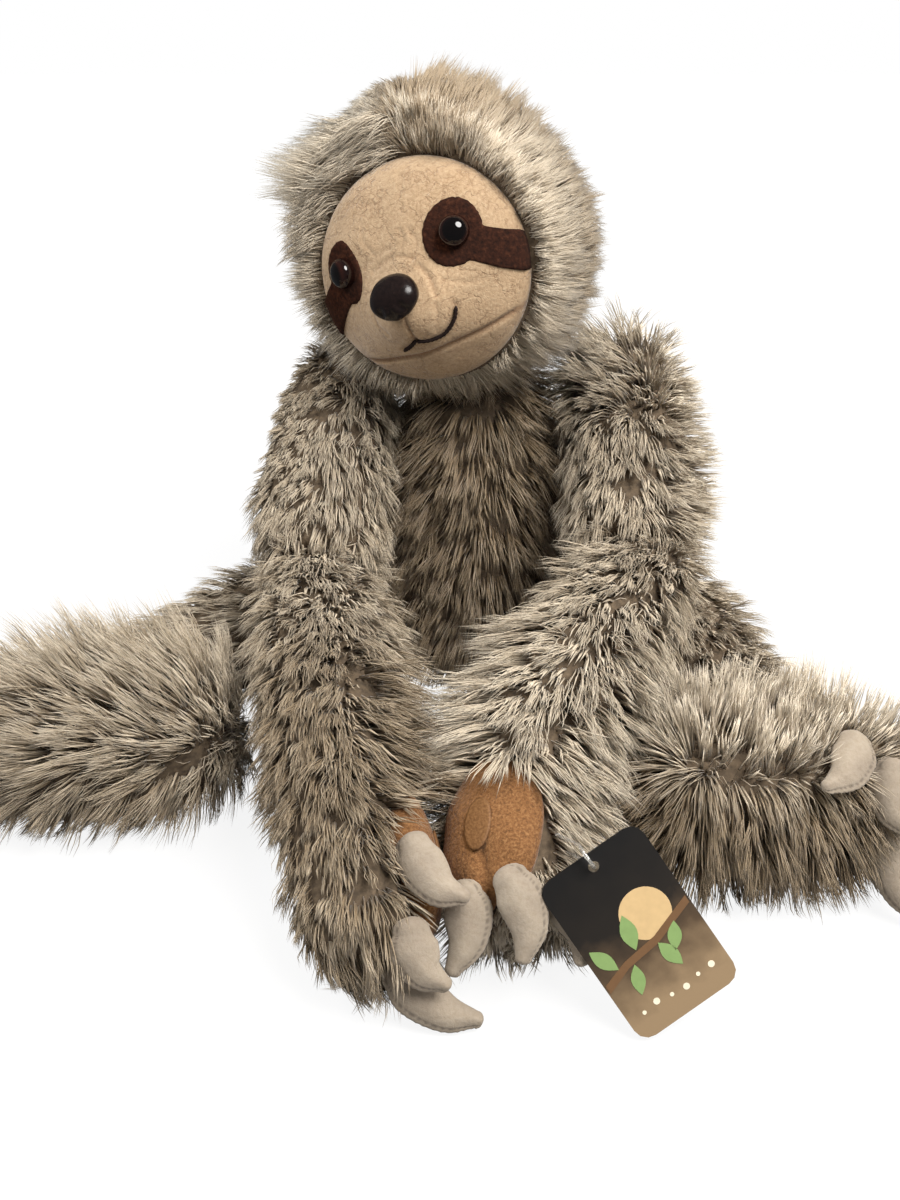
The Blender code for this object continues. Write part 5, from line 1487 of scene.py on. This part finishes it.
def make_foot(side):
    """A stuffed oval along the floor from the heel to the toes, with its claws."""
    name = SIDE_NAMES[side] + "_foot"
    grid, along = stuffed_grid(foot_stations(side), grow=-SKIN_SINK)
    skin(name, grid)
    toe = TOES[side]
    # How high above the foot's middle its pile parts, and how far above and below that it turns
    parting, turning = (19 * MM, 3 * MM) if side == 1 else (0, 8 * MM)

    def keep(p):
        """Not underneath."""
        return p[:, 2] > 4 * MM

    def heelward(p):
        """Rises from 0 to 1 towards the heel."""
        return ease(-((p - FEET[side]) @ toe), FOOT_HALF_LENGTH * 0.35, FOOT_HALF_LENGTH * 0.9)

    def part_line(p, normal, way):
        """The left foot's pile stands above a parting and hangs below; the right one's lies to the toes."""
        up = np.clip((p[:, 2:] - FEET[side][2] - parting) / turning, -1, 1)
        if side == 1:
            flow = UP * up * 0.9 + toe * 0.2 - heelward(p)[:, None] * toe * 0.9
        else:
            flow = toe * 0.75 + UP * up * 0.45 - heelward(p)[:, None] * toe * 0.2
        return unit(normal * 0.75 + flow * 0.45), unit(normal * 0.35 + flow + DOWN * 0.1)

    def length(p):
        """Shorter near the floor; above, shorter at the left foot's toes and longer on the right foot."""
        low = 1 - over(p[:, 2], 8, 25)
        high = over(p[:, 2], 38, 55)
        if side == 1:
            toes = ease((p - FEET[side]) @ toe, 0, FOOT_HALF_LENGTH)
            return (25 + 3 * heelward(p) - 4 * low - 6 * high * toes) * MM
        return (25 + 3 * heelward(p) - 9 * low + 6 * high) * MM

    def shade(p):
        """Darker below: painted shade on the lower sides, which turn away from the lamps."""
        if side == 1:
            return 1.1 * over(p[:, 2], 42, 56) - 0.2
        return 0.22 + 0.4 * over(p[:, 2], 15, 45)

    coat(name, grid, along, part_line, 8300 + 300 * side, 3300 + 600 * side, length, keep, shade,
         avoid=claw_room("foot", side))
    for number in (1, 2, 3):
        make_claw("%s_foot_claw_%d" % (SIDE_NAMES[side], number), name)


# Hang tag

TAG_CORNER_PLACE = HANDS[1] + np.array([38.2, -41.1, 0]) * MM
TAG_CORNER_PLACE[2] = 0.6 * MM
TAG_ALONG = unit(np.array([31.0, 10, 19]))
TAG_LEAN = np.array([-34.0, 19, 45])
TAG_SIZE = (38 * MM, 60 * MM, 0.8 * MM)
TAG_UP = unit(TAG_LEAN - TAG_ALONG * (TAG_LEAN @ TAG_ALONG))
TAG_FRAME = columns(TAG_ALONG, TAG_UP, np.cross(TAG_ALONG, TAG_UP), TAG_CORNER_PLACE)
COATING = {"Coat_Weight": 0.2, "Coat_Roughness": 0.35}


def printed_card():
    """Coated card, offset printed in dark brown that fades to tan towards its foot."""
    made, tree, shader = new_material("printed_card", 0.42, **COATING)
    back = TAG_FRAME.inverted()
    where = node(tree, PLACE)
    shift = {"Location": back.to_translation(), "Rotation": back.to_euler()}
    flat = node(tree, "ShaderNodeMapping", shift, {"Vector": (where, "Object")})
    parts = node(tree, "ShaderNodeSeparateXYZ", links={"Vector": (flat, "Vector")})
    grain = node(tree, NOISE, grain_of(5 * MM, 4.0), {"Vector": (flat, "Vector")})
    high = node(tree, MATHS, {1: 1 / TAG_SIZE[1]}, {0: (parts, "Y")}, operation="MULTIPLY")
    wavy = node(tree, MATHS, {1: 0.35, 2: -0.16}, {0: (grain, "Fac")}, operation="MULTIPLY_ADD")
    total = node(tree, MATHS, links={0: (high, 0), 1: (wavy, 0)}, operation="ADD")
    stops = [(0.12, "#8a7458"), (0.4, "#4d3d2c"), (0.62, "#1c1712"), (1.0, "#0d0b0a")]
    paint(tree, shader, node(tree, RAMP, links={"Fac": (total, 0)}, stops=stops))
    return made


def ink(name, code):
    """One flat printing ink under the card's coating, with a little mottle."""
    made, tree, shader = new_material(name, 0.45, **COATING)
    where = node(tree, PLACE)
    mottle = node(tree, NOISE, grain_of(1.5 * MM), {"Vector": (where, "Object")})
    darker = tuple(v * 0.8 for v in linear(code)[:3]) + (1.0,)
    both = node(tree, MIX, {FIRST: linear(code), SECOND: darker}, {0: (mottle, "Fac")}, **BLEND)
    paint(tree, shader, both, MIXED)
    return made


def plates(name, outlines, look, low, high):
    """Thin closed plates in the card's frame, one for each outline of (x, y) points in mm."""
    points, corners, starts = [], [], []
    for outline in outlines:
        ring = np.array(outline, float) * MM
        n = len(ring)
        base = len(points)
        points += [(x, y, low) for x, y in ring] + [(x, y, high) for x, y in ring]
        for face in (range(n - 1, -1, -1), range(n, 2 * n)):
            starts.append(len(corners))
            corners += [base + k for k in face]
        for k in range(n):
            m = (k + 1) % n
            starts.append(len(corners))
            corners += [base + k, base + m, base + n + m, base + n + k]
    piece = mesh_object(name, apply(TAG_FRAME, np.array(points)), np.array(corners), np.array(starts), look)
    piece.data.shade_flat()
    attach(piece, "tag")


def leaf(x, y, length, wide, turn):
    """A leaf outline: two arcs that meet in points, turned about its foot."""
    t = np.linspace(0, 1, 9)
    bow = wide / 2 * np.sin(math.pi * t)
    left, right = (np.stack([edge, t * length], axis=1) for edge in (-bow, bow))
    ring = np.concatenate([left[1:], right[-2::-1]])
    c, s = math.cos(math.radians(turn)), math.sin(math.radians(turn))
    ring = ring @ np.array([[c, s], [-s, c]]) + np.array([x, y])
    return ring[::-1] if np.cross(ring[1] - ring[0], ring[2] - ring[1]) < 0 else ring


def disc(x, y, radius, count=36):
    """A round outline."""
    t = ring_angles(count)
    return np.stack([x + radius * np.cos(t), y + radius * np.sin(t)], axis=1)


def dress(label, look):
    """Gives a CAD node that is kept its finished material."""
    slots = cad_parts[label].data.materials
    slots.clear()
    slots.append(look)


def make_tag():
    """The kept card with its printing, a generic design of a moon, a branch, leaves and a row of seeds."""
    dress("tag_card", printed_card())
    top = TAG_SIZE[2] + 0.02 * MM
    branch = [(0.6, 19), (10, 22.5), (22, 23.8), (37.4, 29), (37.4, 31.6), (22, 26.4), (10, 25), (0.6, 22)]
    leaves = [leaf(7, 24, 11, 5, 25), leaf(15, 26, 12, 5.5, -12), leaf(12, 22.5, 10, 4.6, 160),
              leaf(22, 24, 10.5, 5, 195), leaf(30, 27, 9.5, 4.6, 150)]
    seeds = [disc(6 + 5.2 * k, 8 + 0.8 * math.sin(k * 1.7), 1.1 if k % 2 else 0.7, 20) for k in range(6)]
    for name, outlines, look, lift in (
        ("tag_print_moon", [disc(24, 34, 8.5)], ink("ink_sand", "#c9ab7c"), 0),
        ("tag_print_branch", [branch], ink("ink_bark", "#6d4f33"), 0.05),
        ("tag_print_leaves", leaves, ink("ink_leaf", "#7f9a5e"), 0.1),
        ("tag_print_seeds", seeds, ink("ink_cream", "#e6dcc4"), 0),
    ):
        plates(name, outlines, look, top + lift * MM, top + (lift + 0.04) * MM)
    dress("tag_loop", loop_nylon())
    acetal = washer_acetal()
    for label in ("left_eye_washer", "right_eye_washer", "nose_washer"):
        dress(label, acetal)


# Studio

def lamp(name, place, size, watts, colour, shiny=True):
    """A round soft lamp that faces the sloth's chest."""
    data = bpy.data.lights.new(name, "AREA")
    data.shape = "DISK"
    data.size = size
    data.energy = watts
    data.color = colour
    obj = bpy.data.objects.new(name, data)
    bpy.context.scene.collection.objects.link(obj)
    obj.location = place
    obj.visible_glossy = shiny
    obj.rotation_euler = (Vector((0.0, -0.08, 0.1)) - obj.location).to_track_quat("-Z", "Y").to_euler()


def seen_white(tree, dark, pale, out, share=1.0):
    """Mixes in the pale shader for rays from the camera, and for those that come through clear plastic."""
    path = node(tree, "ShaderNodeLightPath")
    rays = {0: (path, "Is Camera Ray"), 1: (path, "Is Transmission Ray")}
    any_ray = node(tree, MATHS, links=rays, operation="MAXIMUM")
    part = node(tree, MATHS, {1: share}, {0: (any_ray, 0)}, operation="MULTIPLY")
    mix = node(tree, "ShaderNodeMixShader", links={0: (part, 0), 1: (dark, 0), 2: (pale, 0)})
    tree.links.new(mix.outputs[0], out.inputs["Surface"])


def make_studio():
    """The camera, three lamps, and a white surround: a soft world, and paper that lightens further away."""
    scene = bpy.context.scene
    scene.view_settings.view_transform = "Standard"
    data = bpy.data.cameras.new("camera")
    data.sensor_fit = "VERTICAL"
    data.sensor_height = 36
    data.lens = 39
    camera = bpy.data.objects.new("camera", data)
    scene.collection.objects.link(camera)
    camera.location = (-0.0128, -0.559, 0.3113)
    camera.rotation_euler = (math.radians(63), 0, 0)
    scene.camera = camera

    world = bpy.data.worlds.new("studio")
    scene.world = world
    paper = bpy.data.materials.new("studio_paper")
    for owner in (world, paper):
        owner.use_nodes = True
        owner.node_tree.nodes.clear()
    tree = world.node_tree
    out = node(tree, "ShaderNodeOutputWorld")
    soft = node(tree, "ShaderNodeBackground", {"Color": (0.93, 0.96, 1.0, 1.0), "Strength": 0.14})
    white = node(tree, "ShaderNodeBackground", {"Color": WHITE, "Strength": 1.0})
    seen_white(tree, soft, white, out)

    tree = paper.node_tree
    out = node(tree, "ShaderNodeOutputMaterial")
    matt = node(tree, "ShaderNodeBsdfDiffuse", {"Color": (0.34, 0.335, 0.33, 1.0)})
    where = node(tree, PLACE)
    far = node(tree, "ShaderNodeVectorMath", links={0: (where, "Object")}, operation="LENGTH")
    span = {"From Min": 0.3, "From Max": 1.4, "To Min": 1.24, "To Max": 1.4}
    rise = node(tree, "ShaderNodeMapRange", span, {"Value": (far, "Value")})
    glow = node(tree, "ShaderNodeEmission", {"Color": WHITE}, {"Strength": (rise, 0)})
    seen_white(tree, matt, glow, out, 0.72)
    reach = 3.0
    corners = np.array([(-reach, -reach, 0), (reach, -reach, 0), (reach, reach, 0), (-reach, reach, 0)])
    floor = mesh_object("studio_floor", corners, np.arange(4), np.array([0]), paper)
    floor.visible_glossy = False

    lamp("key", (0.6, -0.8, 1.4), 0.9, 42.0, (1.0, 0.975, 0.94))
    lamp("side", (1.0, -0.1, 1.3), 0.8, 12.0, (1.0, 0.98, 0.95), shiny=False)
    lamp("rim", (-1.0, -0.2, 1.0), 0.9, 15.0, (0.98, 0.99, 1.0), shiny=False)


make_studio()
make_torso()
make_head()
make_face()
make_mouth()
for side in (-1, 1):
    make_patch(side)
    make_eye(side)
    make_upper_arm(side)
    make_forearm(side)
    make_leg(side)
    make_foot(side)
make_nose()
make_tag()
